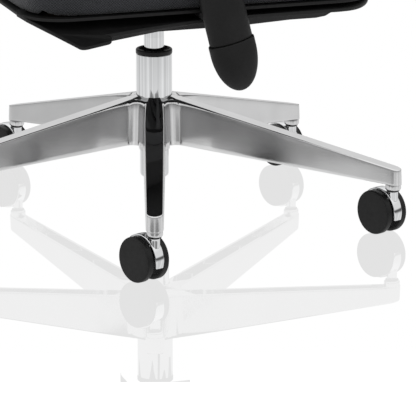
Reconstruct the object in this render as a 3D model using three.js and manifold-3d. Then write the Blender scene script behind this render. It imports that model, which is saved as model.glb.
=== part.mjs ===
// Swivel office chair: five-star cast base on twin-wheel casters, gas lift, synchronous tilt
// mechanism, upholstered seat and back, and two armrests that slide up and down.
// Units are millimetres. +Z is up, the chair faces -Y and the sitter's left is +X.
// While it is built the swivel axis stands on X = 0, Y = 0 and the floor is Z = 0.
// At the end the whole chair is moved so that the origin is the bottom centre of its outer box.

import * as THREE from 'three';
import { mergeVertices } from 'three/addons/utils/BufferGeometryUtils.js';
import Module from 'manifold-3d';

const wasm = await Module();
wasm.setup();

// ---------------------------------------------------------------- driving dimensions

const FIT_GAP = 0.3; // between pieces that touch
const RUN_GAP = 0.5; // between pieces that slide or turn past each other
const PIN_GAP = 0.25; // radial clearance of a pin in its hole
const CUT_PAST = 10; // how far a cutting tool runs past what it cuts

// Casters, all trailing the same way
const TRAIL_DEG = 202.5;
const CASTER_TRAIL = 22;
const WHEEL_R = 31;
const WHEEL_WIDTH = 10.5;
const WHEEL_SPACING = 16; // between the inner faces of the two wheels
const WHEEL_FACETS = 20;
const WHEEL_EDGE = 1.6;
const WHEEL_FACE = 3.5; // thickness of the wheel's outer face over the axle's end
const AXLE_R = 3;
const HOOD_R = WHEEL_R + 2.5;
const HOOD_THICKNESS = 4;
const HOOD_FRONT_Z = WHEEL_R - 8;
const HOOD_BACK_DEG = 22;
const HOOD_WEB_R = 11;
const STEM_R = 5.5;
const STEM_FLANGE_R = 9.2;
const STEM_FLANGE = 1.2;
const STEM_FOOT_WALL = 4; // hood metal under the stem's foot

// Gas lift, radii
const CYLINDER_R = 14;
const CYLINDER_WALL = 2;
const CYLINDER_CAP = 8;
const COLUMN_WALL = 2;
const COLUMN_FOOT_R = CYLINDER_R + COLUMN_WALL + 4;
const COLUMN_TAPER_R = COLUMN_FOOT_R + 2;
const COLUMN_R = COLUMN_FOOT_R + 5;
const COLUMN_SIDES = 20;
const COLUMN_FLOOR = 3;
const COLLAR_R = COLUMN_R + 0.6;
const COLLAR_HEIGHT = 6.5;
const ROD_R = 5;
const ROD_END = 5; // how far the rod stands out under the column
const ROD_RING = 5; // width and height of the ring that stands on the bearing
const PISTON_HEIGHT = 9;
const CLIP_HEIGHT = 1.6;
const BEARING_HEIGHT = 6;
const RELEASE_PIN_R = 2.8;
const RELEASE_PIN_PROUD = 5.5;

// Star base, one aluminium casting
const ARM_COUNT = 5;
const FIRST_ARM_DEG = -90;
const STEM_CIRCLE_R = 347;
const ARM_ROOT_WIDTH = 29;
const ARM_TIP_WIDTH = 22;
const ARM_END_PAST_STEM = ARM_TIP_WIDTH / 2;
const ARM_WALL = 4;
const ARM_RISE = 80; // of the arm's top, from its end to the hub
const BELLY_RISE = 35;
const SOCKET_R = ARM_TIP_WIDTH / 2;
const SOCKET_BOTTOM_Z = 2 * WHEEL_R + 3;
const SOCKET_DEPTH = 24;
const SOCKET_DRAFT = 2;
const ARM_TOP_TIP_Z = SOCKET_BOTTOM_Z + SOCKET_DEPTH + 6;
const ARM_TOP_ROOT_Z = ARM_TOP_TIP_Z + ARM_RISE;
const ARM_BELLY_TIP_Z = SOCKET_BOTTOM_Z + 10;
const ARM_BELLY_ROOT_Z = ARM_BELLY_TIP_Z + BELLY_RISE;
const HUB_R = COLUMN_R + 13;
const HUB_TOP_Z = ARM_TOP_ROOT_Z + 2;
const HUB_BOTTOM_Z = ARM_BELLY_ROOT_Z - 1;
const HUB_SHOULDER = 6;
const HUB_CHAMFER = 4;
const ARM_TOP_ROOT_R = HUB_R - 2;
const ARM_BELLY_ROOT_R = HUB_R + 2;

// Gas lift, heights
const COLUMN_FOOT_Z = HUB_BOTTOM_Z - 50;
const COLUMN_NECK_Z = HUB_BOTTOM_Z - 6; // where the foot widens into the taper
const COLUMN_TOP_Z = HUB_TOP_Z + 59;
const BUSH_LENGTH = 86;
const CYLINDER_BOTTOM_Z = COLUMN_FOOT_Z + 21;
const LIFT_STROKE = 100;

// Tilt mechanism
const HOUSING_HALF_WIDTH = 45;
const HOUSING_FRONT_Y = -92;
const HOUSING_REAR_Y = 78;
const HOUSING_FLOOR_Z = COLUMN_TOP_Z + 40;
const HOUSING_FRONT_TOP_Z = HOUSING_FLOOR_Z + 50;
const HOUSING_REAR_TOP_Z = HOUSING_FLOOR_Z + 26;
const HOUSING_LEVEL_TOP = 40; // length of the level part of its top, at the front
const HOUSING_WALL = 4;
const HOUSING_CHAMFER = 6;
const CYLINDER_TOP_Z = HOUSING_FLOOR_Z + 24;
const BOSS_R = CYLINDER_R + 6;
const BOSS_TOP_Z = CYLINDER_TOP_Z - 4;
const PIVOT_PIN_R = 5;
const PIVOT_PIN_PROUD = 3;
const TILT_PIN_Y = HOUSING_FRONT_Y + 22;
const TILT_PIN_Z = HOUSING_FLOOR_Z + 38;
const RECLINE_PIN_Y = HOUSING_REAR_Y - 44;
const RECLINE_PIN_Z = HOUSING_FLOOR_Z + 14;
const EAR_THICKNESS = 5;
const EAR_GAP = 1.5;
const EAR_R = 12;
const EAR_FOOT_FRONT = 18; // how far the ear's foot reaches in front of and behind the pin
const EAR_FOOT_REAR = 22;
const SPRING_R = 11;
const SPRING_WIRE_R = 2;
const SPRING_TURNS = 5;
const SPRING_END_GAP = 4;
const SPRING_Z = HOUSING_FLOOR_Z + 18;
const KNOB_R = 19;
const KNOB_LENGTH = 30;
const KNOB_CHAMFER = 3;
const KNOB_SPINDLE_R = 5;
const KNOB_SPINDLE_LENGTH = 44;

// Seat
const SEAT_HALF_WIDTH = 243;
const SEAT_FRONT_Y = -250;
const SEAT_REAR_Y = 245;
const SEAT_CORNER_R = 62;
const SHELL_TOP_Z = HOUSING_FLOOR_Z + 70;
const SHELL_FLOOR = 4;
const SHELL_WALL = 5;
const SHELL_DEPTH = 16; // height of the shell's side wall
const SHELL_END_DEPTH = 5; // and of its front and rear edges
const LIP_DEPTH = 27; // how far the front lips hang below the side wall
const LIP_NOTCH = 13; // how far below the side wall the notch behind a lip starts
const LIP_FRONT = 68; // from the seat's front: where a lip reaches its depth,
const LIP_REAR = 111; // where its tongue ends,
const LIP_NOTCH_START = 101; // and where the notch over the tongue starts
const SEAT_PLATE_THICKNESS = 3.2;
const SEAT_PLATE_HALF_WIDTH = 95;
const SEAT_PLATE_OVERHANG = 20; // past the housing's front
const SEAT_PLATE_REAR_OVERHANG = 40;
const SEAT_PLATE_CORNER = 14;
const PANEL_INSET = 26;
const PANEL_THICKNESS = 12;
const CUSHION_THICKNESS = 74;
const CUSHION_CROWN = 12;
const CUSHION_FRONT_ROLL = 22;

// Hand levers, on the right of the housing
const LEVER_R = 4;
const LEVER_Z = HOUSING_FLOOR_Z + 34;
const LEVER_Y = 0;
const LEVER_INNER_X = 6; // the height lever reaches over the release pin
const LEVER_PIVOT_X = 5 - HOUSING_HALF_WIDTH;
const LEVER_END_X = -SEAT_HALF_WIDTH - 2;
const LEVER_DROP = 18;
const PADDLE_LENGTH = 58;
const PADDLE_WIDTH = 26;
const PADDLE_THICKNESS = 9;
const LOCK_LEVER_Y = -34;
const LOCK_LEVER_INNER_X = 23 - HOUSING_HALF_WIDTH;
const LOCK_LEVER_END_X = LEVER_END_X + 78;
const LOCK_LEVER_DROP = 8;
const LOCK_PADDLE_LENGTH = 46;

// Back
const BACK_HALF_WIDTH = SEAT_HALF_WIDTH - 8;
const BACK_HEIGHT = 572;
const BACK_BOTTOM_Z = SHELL_TOP_Z + 112;
const BACK_TOP_Z = BACK_BOTTOM_Z + BACK_HEIGHT;
const BACK_FACE_Y = SEAT_REAR_Y - 1; // front face of the shell at its foot
const BACK_LEAN_DEG = 8;
const BACK_WRAP = 38; // how far the sides come forward of the middle
const BACK_LUMBAR = 16;
const BACK_SHELL_THICKNESS = 12;
const BACK_CUSHION_INSET = 8;
const BACK_CUSHION_THICKNESS = 56;
const BACK_CUSHION_CROWN = 22;
const BAR_THICKNESS = 9;
const BAR_HALF_WIDTH = 38;
const BAR_BOTTOM_Z = HOUSING_FLOOR_Z + 5;
const BAR_CLEARANCE = 12; // behind the seat
const UPRIGHT_GAP = 1.5; // behind the back shell
const UPRIGHT_TOP_Z = BACK_BOTTOM_Z + 232;

// Armrests
const ARMREST_X = SEAT_HALF_WIDTH + 27;
const ARMREST_FOOT_Y = 36.8;
const ARMREST_FOOT_Z = SHELL_TOP_Z - 106.6;
const ARMREST_LEAN_DEG = 14;
const BOOT_HALF_THICKNESS = 20;
const BOOT_HALF_DEPTH = 32;
const BOOT_ROUND_HEIGHT = 55;
const BOOT_SEAM = 70;
const SLEEVE_HALF_THICKNESS = BOOT_HALF_THICKNESS - 2;
const SLEEVE_HALF_DEPTH = BOOT_HALF_DEPTH - 2;
const SLEEVE_TOP = 250;
const SLEEVE_FLAT = SLEEVE_HALF_THICKNESS - 3; // from the sleeve's axis to its flat inner face
const SLEEVE_FLOOR = 6; // between the post's foot and the bore's end
const POST_HALF_THICKNESS = 8;
const POST_HALF_DEPTH = 22;
const POST_CORNER = 3;
const POST_FOOT = 112;
const POST_TOP = SLEEVE_TOP + 106;
const HEAD_HALF_THICKNESS = SLEEVE_HALF_THICKNESS - 1;
const HEAD_HEIGHT = 34;
const PAD_HALF_WIDTH = 44;
const PAD_HALF_LENGTH = 132;
const PAD_THICKNESS = 26;
const PAD_TRAIL = 14; // how far the pad's middle sits behind the post
const BUTTON_HALF = 8;
const BUTTON_CORNER = 3;
const BUTTON_PROUD = 3.5;
const BUTTON_LENGTH = 8;
const BUTTON_TRAVEL = 3;
const BRACKET_THICKNESS = 7;
const BRACKET_INNER_X = SEAT_PLATE_HALF_WIDTH + 15;
const BRACKET_HALF_WIDTH = 25;
const BRACKET_FLANGE = 5;
const BRACKET_HEIGHT = 48;

// ---------------------------------------------------------------- materials

const POLISHED = { color: 0xd8dadc, roughness: 0.12, metalness: 1 };
const CHROME = { color: 0xe6e8ea, roughness: 0.06, metalness: 1 };
const STEEL = { color: 0xa9acb0, roughness: 0.35, metalness: 1 };
const BLACK_STEEL = { color: 0x17181a, roughness: 0.5, metalness: 0.3 };
const BLACK_PLASTIC = { color: 0x151517, roughness: 0.55, metalness: 0 };
const WHEEL_PLASTIC = { color: 0x101012, roughness: 0.45, metalness: 0 };
const FABRIC = { color: 0x1b1c1f, roughness: 0.95, metalness: 0 };
const PLYWOOD = { color: 0xb58c5a, roughness: 0.7, metalness: 0 };

const chair = new THREE.Group();

function addPart(parent, name, geometry, finish) {
  const mesh = new THREE.Mesh(geometry, new THREE.MeshStandardMaterial(finish));
  mesh.name = name;
  parent.add(mesh);
  return mesh;
}

// ---------------------------------------------------------------- solid helpers

const rad = THREE.MathUtils.degToRad;

// Welds a geometry's vertices, drops slivers and turns its faces outward.
function welded(geometry) {
  const plain = geometry.clone();
  plain.deleteAttribute('normal');
  plain.deleteAttribute('uv');
  const merged = mergeVertices(plain, 1e-4);
  const index = merged.index.array;
  const at = merged.attributes.position;
  const kept = [];
  const a = new THREE.Vector3();
  const b = new THREE.Vector3();
  const c = new THREE.Vector3();
  let volume = 0;
  for (let i = 0; i < index.length; i += 3) {
    const [p, q, r] = [index[i], index[i + 1], index[i + 2]];
    if (p === q || q === r || r === p) continue;
    kept.push(p, q, r);
    a.fromBufferAttribute(at, p);
    b.fromBufferAttribute(at, q);
    c.fromBufferAttribute(at, r);
    volume += a.dot(b.cross(c));
  }
  merged.setIndex(volume < 0 ? kept.reverse() : kept);
  return merged;
}

function toManifold(geometry) {
  const merged = welded(geometry);
  return new wasm.Manifold(new wasm.Mesh({
    numProp: 3,
    vertProperties: new Float32Array(merged.attributes.position.array),
    triVerts: new Uint32Array(merged.index.array),
  }));
}

function fromManifold(body) {
  const mesh = body.getMesh();
  const geometry = new THREE.BufferGeometry();
  geometry.setAttribute('position', new THREE.BufferAttribute(mesh.vertProperties, 3));
  geometry.setIndex(new THREE.BufferAttribute(mesh.triVerts, 1));
  geometry.computeVertexNormals();
  return geometry;
}

function join(first, ...others) {
  const whole = others.reduce((body, piece) => body.add(toManifold(piece)), toManifold(first));
  return fromManifold(whole);
}

function cut(first, ...tools) {
  const rest = tools.reduce((body, tool) => body.subtract(toManifold(tool)), toManifold(first));
  return fromManifold(rest);
}

function common(first, second) {
  return fromManifold(toManifold(first).intersect(toManifold(second)));
}

function polygon(points) {
  return new THREE.Shape(points.map(([x, y]) => new THREE.Vector2(x, y)));
}

function roundedRect(x0, y0, x1, y1, r) {
  const shape = new THREE.Shape();
  shape.moveTo(x0 + r, y0);
  shape.absarc(x1 - r, y0 + r, r, -Math.PI / 2, 0, false);
  shape.absarc(x1 - r, y1 - r, r, 0, Math.PI / 2, false);
  shape.absarc(x0 + r, y1 - r, r, Math.PI / 2, Math.PI, false);
  shape.absarc(x0 + r, y0 + r, r, Math.PI, Math.PI * 1.5, false);
  return shape;
}

function extruded(shape, depth, curveSegments = 5) {
  return new THREE.ExtrudeGeometry(shape, { depth, bevelEnabled: false, curveSegments });
}

// A shape in X and Y, standing from z0 to z1.
function standing(shape, z0, z1, curveSegments) {
  return extruded(shape, z1 - z0, curveSegments).translate(0, 0, z0);
}

// A shape whose points are (y, z), running across the chair from x0 to x1.
function across(shape, x0, x1, curveSegments) {
  const turn = new THREE.Matrix4().makeBasis(
    new THREE.Vector3(0, 1, 0),
    new THREE.Vector3(0, 0, 1),
    new THREE.Vector3(1, 0, 0),
  );
  return extruded(shape, x1 - x0, curveSegments).applyMatrix4(turn).translate(x0, 0, 0);
}

// A shape whose points are (x, z), running from y0 to y1.
function along(shape, y0, y1, curveSegments) {
  const turn = new THREE.Matrix4().makeBasis(
    new THREE.Vector3(1, 0, 0),
    new THREE.Vector3(0, 0, 1),
    new THREE.Vector3(0, -1, 0),
  );
  return extruded(shape, y1 - y0, curveSegments).applyMatrix4(turn).translate(0, y1, 0);
}

function block(x0, x1, y0, y1, z0, z1) {
  return new THREE.BoxGeometry(x1 - x0, y1 - y0, z1 - z0)
    .translate((x0 + x1) / 2, (y0 + y1) / 2, (z0 + z1) / 2);
}

// An upright round bar.
function post(r, z0, z1, sides = 24) {
  const bar = new THREE.CylinderGeometry(r, r, z1 - z0, sides);
  return bar.rotateX(Math.PI / 2).translate(0, 0, (z0 + z1) / 2);
}

// A round hole whose flats are at radius r, so that a bar of that radius clears them.
function hole(r, z0, z1, sides = 24) {
  return post(r / Math.cos(Math.PI / sides), z0, z1, sides);
}

// A turned piece: points are (radius, height), the height running along Z.
function turned(points, sides = 24) {
  const outline = points.map(([r, z]) => new THREE.Vector2(r, z));
  return new THREE.LatheGeometry(outline, sides).rotateX(Math.PI / 2);
}

function ring(rInner, rOuter, z0, z1, sides = 24) {
  return turned([[rInner, z0], [rOuter, z0], [rOuter, z1], [rInner, z1], [rInner, z0]], sides);
}

// A pin along X.
function crossPin(r, x0, x1, y, z, sides = 12) {
  return post(r, x0, x1, sides).rotateY(Math.PI / 2).translate(0, y, z);
}

function crossHole(r, x0, x1, y, z, sides = 12) {
  return crossPin(r / Math.cos(Math.PI / sides), x0, x1, y, z, sides);
}

// A closed cushion-like solid: a gridded box whose vertices 'place' moves. It is given
// u and v across the face and w through the thickness, each from -1 to 1.
function pillow(cells, place) {
  const geometry = new THREE.BoxGeometry(2, 2, 2, cells[0], cells[1], cells[2]);
  const at = geometry.attributes.position;
  for (let i = 0; i < at.count; i += 1) {
    const [x, y, z] = place(at.getX(i), at.getY(i), at.getZ(i));
    at.setXYZ(i, x, y, z);
  }
  return welded(geometry);
}

// Draws the corners of a square in by 'round' (0 keeps it square, 1 makes a circle).
function softSquare(u, v, round) {
  return [u * Math.sqrt(1 - (round * v * v) / 2), v * Math.sqrt(1 - (round * u * u) / 2)];
}

// ---------------------------------------------------------------- star base

function armTopZ(r) {
  const run = STEM_CIRCLE_R + ARM_END_PAST_STEM - ARM_TOP_ROOT_R;
  return ARM_TOP_ROOT_Z - ((r - ARM_TOP_ROOT_R) * (ARM_TOP_ROOT_Z - ARM_TOP_TIP_Z)) / run;
}

function armBellyZ(r) {
  const run = STEM_CIRCLE_R - SOCKET_R - ARM_BELLY_ROOT_R;
  return ARM_BELLY_ROOT_Z - ((r - ARM_BELLY_ROOT_R) * (ARM_BELLY_ROOT_Z - ARM_BELLY_TIP_Z)) / run;
}

// Half the arm's width at radius r.
function armHalfWidth(r) {
  const share = r / (STEM_CIRCLE_R + ARM_END_PAST_STEM);
  return (ARM_ROOT_WIDTH + (ARM_TIP_WIDTH - ARM_ROOT_WIDTH) * share) / 2;
}

function armPrism(rStart, rEnd, inset, sideShape) {
  const outline = polygon([
    [rStart, -armHalfWidth(rStart) + inset],
    [rEnd, -armHalfWidth(rEnd) + inset],
    [rEnd, armHalfWidth(rEnd) - inset],
    [rStart, armHalfWidth(rStart) - inset],
  ]);
  const side = along(sideShape, -ARM_ROOT_WIDTH, ARM_ROOT_WIDTH);
  return common(side, standing(outline, 0, HUB_TOP_Z));
}

// One arm, pointing along +X.
function baseArm() {
  const tip = STEM_CIRCLE_R + ARM_END_PAST_STEM;
  const heel = STEM_CIRCLE_R - SOCKET_R;
  const body = armPrism(0, tip, 0, polygon([
    [0, ARM_BELLY_ROOT_Z],
    [ARM_BELLY_ROOT_R, ARM_BELLY_ROOT_Z],
    [heel, ARM_BELLY_TIP_Z],
    [heel + SOCKET_DRAFT, SOCKET_BOTTOM_Z],
    [tip, SOCKET_BOTTOM_Z],
    [tip - SOCKET_DRAFT / 2, ARM_TOP_TIP_Z],
    [ARM_TOP_ROOT_R, ARM_TOP_ROOT_Z],
    [0, ARM_TOP_ROOT_Z],
  ]));
  const hollowStart = HUB_R + ARM_WALL;
  const hollowEnd = heel - ARM_WALL;
  const hollow = armPrism(hollowStart, hollowEnd, ARM_WALL, polygon([
    [hollowStart, armBellyZ(hollowStart) - CUT_PAST],
    [hollowEnd, armBellyZ(hollowEnd) - CUT_PAST],
    [hollowEnd, armTopZ(hollowEnd) - ARM_WALL],
    [hollowStart, armTopZ(hollowStart) - ARM_WALL],
  ]));
  return cut(body, hollow);
}

// The column's outside radius inside the hub, where it seats in a taper.
function taperR(z) {
  const share = (HUB_TOP_Z - z) / (HUB_TOP_Z - HUB_BOTTOM_Z);
  return COLUMN_R + (COLUMN_TAPER_R - COLUMN_R) * share;
}

function starBase() {
  const hub = turned([
    [0, HUB_BOTTOM_Z],
    [HUB_R - HUB_CHAMFER, HUB_BOTTOM_Z],
    [HUB_R, HUB_BOTTOM_Z + HUB_CHAMFER],
    [HUB_R, HUB_TOP_Z - HUB_SHOULDER],
    [HUB_R - HUB_SHOULDER, HUB_TOP_Z],
    [0, HUB_TOP_Z],
  ], COLUMN_SIDES);
  const arms = [];
  const bores = [];
  for (let i = 0; i < ARM_COUNT; i += 1) {
    const angle = armAngle(i);
    arms.push(baseArm().rotateZ(angle));
    bores.push(
      hole(STEM_R + PIN_GAP, SOCKET_BOTTOM_Z - CUT_PAST, SOCKET_BOTTOM_Z + SOCKET_DEPTH, 12)
        .translate(STEM_CIRCLE_R, 0, 0)
        .rotateZ(angle),
    );
  }
  const extra = 1;
  const step = (taperR(HUB_BOTTOM_Z) - taperR(HUB_TOP_Z)) / (HUB_TOP_Z - HUB_BOTTOM_Z);
  const socket = turned([
    [0, HUB_BOTTOM_Z - extra],
    [taperR(HUB_BOTTOM_Z) + step * extra + FIT_GAP, HUB_BOTTOM_Z - extra],
    [taperR(HUB_TOP_Z) - step * extra + FIT_GAP, HUB_TOP_Z + extra],
    [0, HUB_TOP_Z + extra],
  ], COLUMN_SIDES);
  return cut(join(hub, ...arms), socket, ...bores);
}

function armAngle(i) {
  return rad(FIRST_ARM_DEG + (360 / ARM_COUNT) * i);
}

// ---------------------------------------------------------------- casters

// The local frame of a caster: the stem stands on the origin, the wheels trail along +X
// and the axle runs along Y.
function casterWheel(side) {
  const inner = WHEEL_SPACING / 2;
  const outer = inner + WHEEL_WIDTH;
  const rim = WHEEL_R / Math.cos(Math.PI / WHEEL_FACETS);
  const boreEnd = outer - WHEEL_FACE;
  const profile = [
    [0, boreEnd],
    [AXLE_R + PIN_GAP, boreEnd],
    [AXLE_R + PIN_GAP, inner],
    [rim, inner],
    [rim, outer - WHEEL_EDGE],
    [rim - WHEEL_EDGE, outer],
    [0, outer],
  ];
  const wheel = turned(profile, WHEEL_FACETS);
  wheel.rotateZ(Math.PI / WHEEL_FACETS);
  wheel.rotateX(side > 0 ? -Math.PI / 2 : Math.PI / 2);
  return wheel.translate(CASTER_TRAIL, 0, WHEEL_R);
}

function casterHood() {
  const shape = new THREE.Shape();
  const low = Math.PI + Math.asin((WHEEL_R - HOOD_FRONT_Z) / HOOD_R);
  const back = rad(HOOD_BACK_DEG);
  const atArc = (r, angle) => [CASTER_TRAIL + r * Math.cos(angle), WHEEL_R + r * Math.sin(angle)];
  shape.moveTo(...atArc(HOOD_R, low));
  shape.absarc(CASTER_TRAIL, WHEEL_R, HOOD_R, low, back, true);
  shape.lineTo(...atArc(HOOD_R - HOOD_THICKNESS, back));
  shape.lineTo(...atArc(HOOD_WEB_R, 0));
  shape.absarc(CASTER_TRAIL, WHEEL_R, HOOD_WEB_R, 0, -Math.PI * 0.75, true);
  shape.lineTo(...atArc(HOOD_R - HOOD_THICKNESS, low));
  const bore = new THREE.Path();
  bore.absarc(CASTER_TRAIL, WHEEL_R, AXLE_R + PIN_GAP, 0, Math.PI * 2, false);
  shape.holes.push(bore);
  const half = WHEEL_SPACING / 2 - RUN_GAP;
  const plate = along(shape, -half, half, 4);
  const neckTop = SOCKET_BOTTOM_Z - FIT_GAP * 2 - STEM_FLANGE;
  const neckFoot = WHEEL_R + HOOD_WEB_R;
  const stemBore = hole(STEM_R + PIN_GAP, stemFootZ() - FIT_GAP, neckTop + CUT_PAST, 12);
  return cut(join(plate, post(half, neckFoot, neckTop, 16)), stemBore);
}

function stemFootZ() {
  return WHEEL_R + HOOD_WEB_R + STEM_FOOT_WALL + FIT_GAP;
}

function casterStem() {
  const flangeTop = SOCKET_BOTTOM_Z - FIT_GAP;
  const flangeBottom = flangeTop - STEM_FLANGE;
  const stemTop = SOCKET_BOTTOM_Z + SOCKET_DEPTH - RUN_GAP * 4;
  return turned([
    [0, stemFootZ()],
    [STEM_R, stemFootZ()],
    [STEM_R, flangeBottom],
    [STEM_FLANGE_R, flangeBottom],
    [STEM_FLANGE_R, flangeTop],
    [STEM_R, flangeTop],
    [STEM_R, stemTop],
    [0, stemTop],
  ], 12);
}

function casterAxle() {
  const end = WHEEL_SPACING / 2 + WHEEL_WIDTH - WHEEL_FACE - FIT_GAP;
  return post(AXLE_R, -end, end, 8).rotateX(Math.PI / 2).translate(CASTER_TRAIL, 0, WHEEL_R);
}

function addCasters() {
  for (let i = 0; i < ARM_COUNT; i += 1) {
    const caster = new THREE.Group();
    const name = `caster_${i + 1}`;
    addPart(caster, `${name}_hood`, casterHood(), CHROME);
    addPart(caster, `${name}_stem`, casterStem(), STEEL);
    addPart(caster, `${name}_axle`, casterAxle(), STEEL);
    addPart(caster, `${name}_wheel_a`, casterWheel(1), WHEEL_PLASTIC);
    addPart(caster, `${name}_wheel_b`, casterWheel(-1), WHEEL_PLASTIC);
    caster.position.x = STEM_CIRCLE_R * Math.cos(armAngle(i));
    caster.position.y = STEM_CIRCLE_R * Math.sin(armAngle(i));
    caster.rotation.z = rad(TRAIL_DEG);
    chair.add(caster);
  }
}

// ---------------------------------------------------------------- gas lift

function columnTube() {
  const floorTop = COLUMN_FOOT_Z + COLUMN_FLOOR;
  return turned([
    [ROD_R + PIN_GAP * 2, COLUMN_FOOT_Z],
    [COLUMN_FOOT_R - COLUMN_FLOOR, COLUMN_FOOT_Z],
    [COLUMN_FOOT_R, floorTop],
    [COLUMN_FOOT_R, COLUMN_NECK_Z],
    [taperR(HUB_BOTTOM_Z), HUB_BOTTOM_Z],
    [COLUMN_R, HUB_TOP_Z],
    [COLUMN_R, COLUMN_TOP_Z],
    [COLUMN_R - COLUMN_WALL, COLUMN_TOP_Z],
    [COLUMN_R - COLUMN_WALL, HUB_TOP_Z],
    [COLUMN_FOOT_R - COLUMN_WALL, COLUMN_NECK_Z],
    [COLUMN_FOOT_R - COLUMN_WALL, floorTop],
    [ROD_R + PIN_GAP * 2, floorTop],
    [ROD_R + PIN_GAP * 2, COLUMN_FOOT_Z],
  ], COLUMN_SIDES);
}

function guideBush() {
  const bore = CYLINDER_R + RUN_GAP;
  const seat = COLUMN_TOP_Z + FIT_GAP;
  const bottom = COLUMN_TOP_Z - BUSH_LENGTH;
  const innerAt = (z) => {
    const share = (z - COLUMN_NECK_Z) / (HUB_TOP_Z - COLUMN_NECK_Z);
    const foot = COLUMN_FOOT_R - COLUMN_WALL;
    return foot + (COLUMN_R - COLUMN_WALL - foot) * Math.min(1, share);
  };
  return turned([
    [bore, bottom],
    [innerAt(bottom) - FIT_GAP * 2, bottom],
    [COLUMN_R - COLUMN_WALL - FIT_GAP * 2, HUB_TOP_Z],
    [COLUMN_R - COLUMN_WALL - FIT_GAP * 2, seat],
    [COLLAR_R, seat],
    [COLLAR_R, seat + COLLAR_HEIGHT - 1.5],
    [COLLAR_R - 1.5, seat + COLLAR_HEIGHT],
    [COLLAR_R - 3.5, seat + COLLAR_HEIGHT],
    [bore + 2, seat + COLLAR_HEIGHT - 4],
    [bore, seat + COLLAR_HEIGHT - 4],
    [bore, bottom],
  ], COLUMN_SIDES);
}

function gasCylinder() {
  const inner = CYLINDER_R - CYLINDER_WALL;
  return turned([
    [ROD_R + PIN_GAP, CYLINDER_BOTTOM_Z],
    [CYLINDER_R, CYLINDER_BOTTOM_Z],
    [CYLINDER_R, CYLINDER_TOP_Z],
    [RELEASE_PIN_R + PIN_GAP, CYLINDER_TOP_Z],
    [RELEASE_PIN_R + PIN_GAP, CYLINDER_TOP_Z - CYLINDER_CAP],
    [inner, CYLINDER_TOP_Z - CYLINDER_CAP],
    [inner, CYLINDER_BOTTOM_Z + CYLINDER_CAP],
    [ROD_R + PIN_GAP, CYLINDER_BOTTOM_Z + CYLINDER_CAP],
    [ROD_R + PIN_GAP, CYLINDER_BOTTOM_Z],
  ], COLUMN_SIDES);
}

// The rod stands on the thrust bearing and carries the piston inside the cylinder.
function liftRod() {
  const bearingTop = COLUMN_FOOT_Z + COLUMN_FLOOR + FIT_GAP * 2 + BEARING_HEIGHT;
  const pistonZ = CYLINDER_BOTTOM_Z + CYLINDER_CAP + LIFT_STROKE + RUN_GAP;
  const pistonR = CYLINDER_R - CYLINDER_WALL - PIN_GAP;
  return turned([
    [0, COLUMN_FOOT_Z - ROD_END],
    [ROD_R, COLUMN_FOOT_Z - ROD_END],
    [ROD_R, bearingTop + FIT_GAP],
    [ROD_R + ROD_RING, bearingTop + FIT_GAP],
    [ROD_R + ROD_RING, bearingTop + ROD_RING],
    [ROD_R, bearingTop + ROD_RING],
    [ROD_R, pistonZ],
    [pistonR, pistonZ],
    [pistonR, pistonZ + PISTON_HEIGHT],
    [0, pistonZ + PISTON_HEIGHT],
  ], 20);
}

function addGasLift() {
  const bearingZ = COLUMN_FOOT_Z + COLUMN_FLOOR + FIT_GAP;
  const bearingR = COLUMN_FOOT_R - COLUMN_WALL - RUN_GAP;
  const bearing = ring(ROD_R + PIN_GAP, bearingR, bearingZ, bearingZ + BEARING_HEIGHT);
  const clipTop = COLUMN_FOOT_Z - FIT_GAP;
  const clip = ring(ROD_R + PIN_GAP, ROD_R + 4, clipTop - CLIP_HEIGHT, clipTop, 20);
  const pinBottom = CYLINDER_TOP_Z - CYLINDER_CAP - 6;
  const releasePin = post(RELEASE_PIN_R, pinBottom, CYLINDER_TOP_Z + RELEASE_PIN_PROUD, 12);
  addPart(chair, 'lift_column', columnTube(), CHROME);
  addPart(chair, 'lift_guide_bush', guideBush(), BLACK_PLASTIC);
  addPart(chair, 'lift_thrust_bearing', bearing, STEEL);
  addPart(chair, 'lift_rod', liftRod(), CHROME);
  addPart(chair, 'lift_rod_clip', clip, STEEL);
  addPart(chair, 'gas_spring_cylinder', gasCylinder(), CHROME);
  addPart(chair, 'lift_release_pin', releasePin, STEEL);
}

// ---------------------------------------------------------------- tilt mechanism

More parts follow.
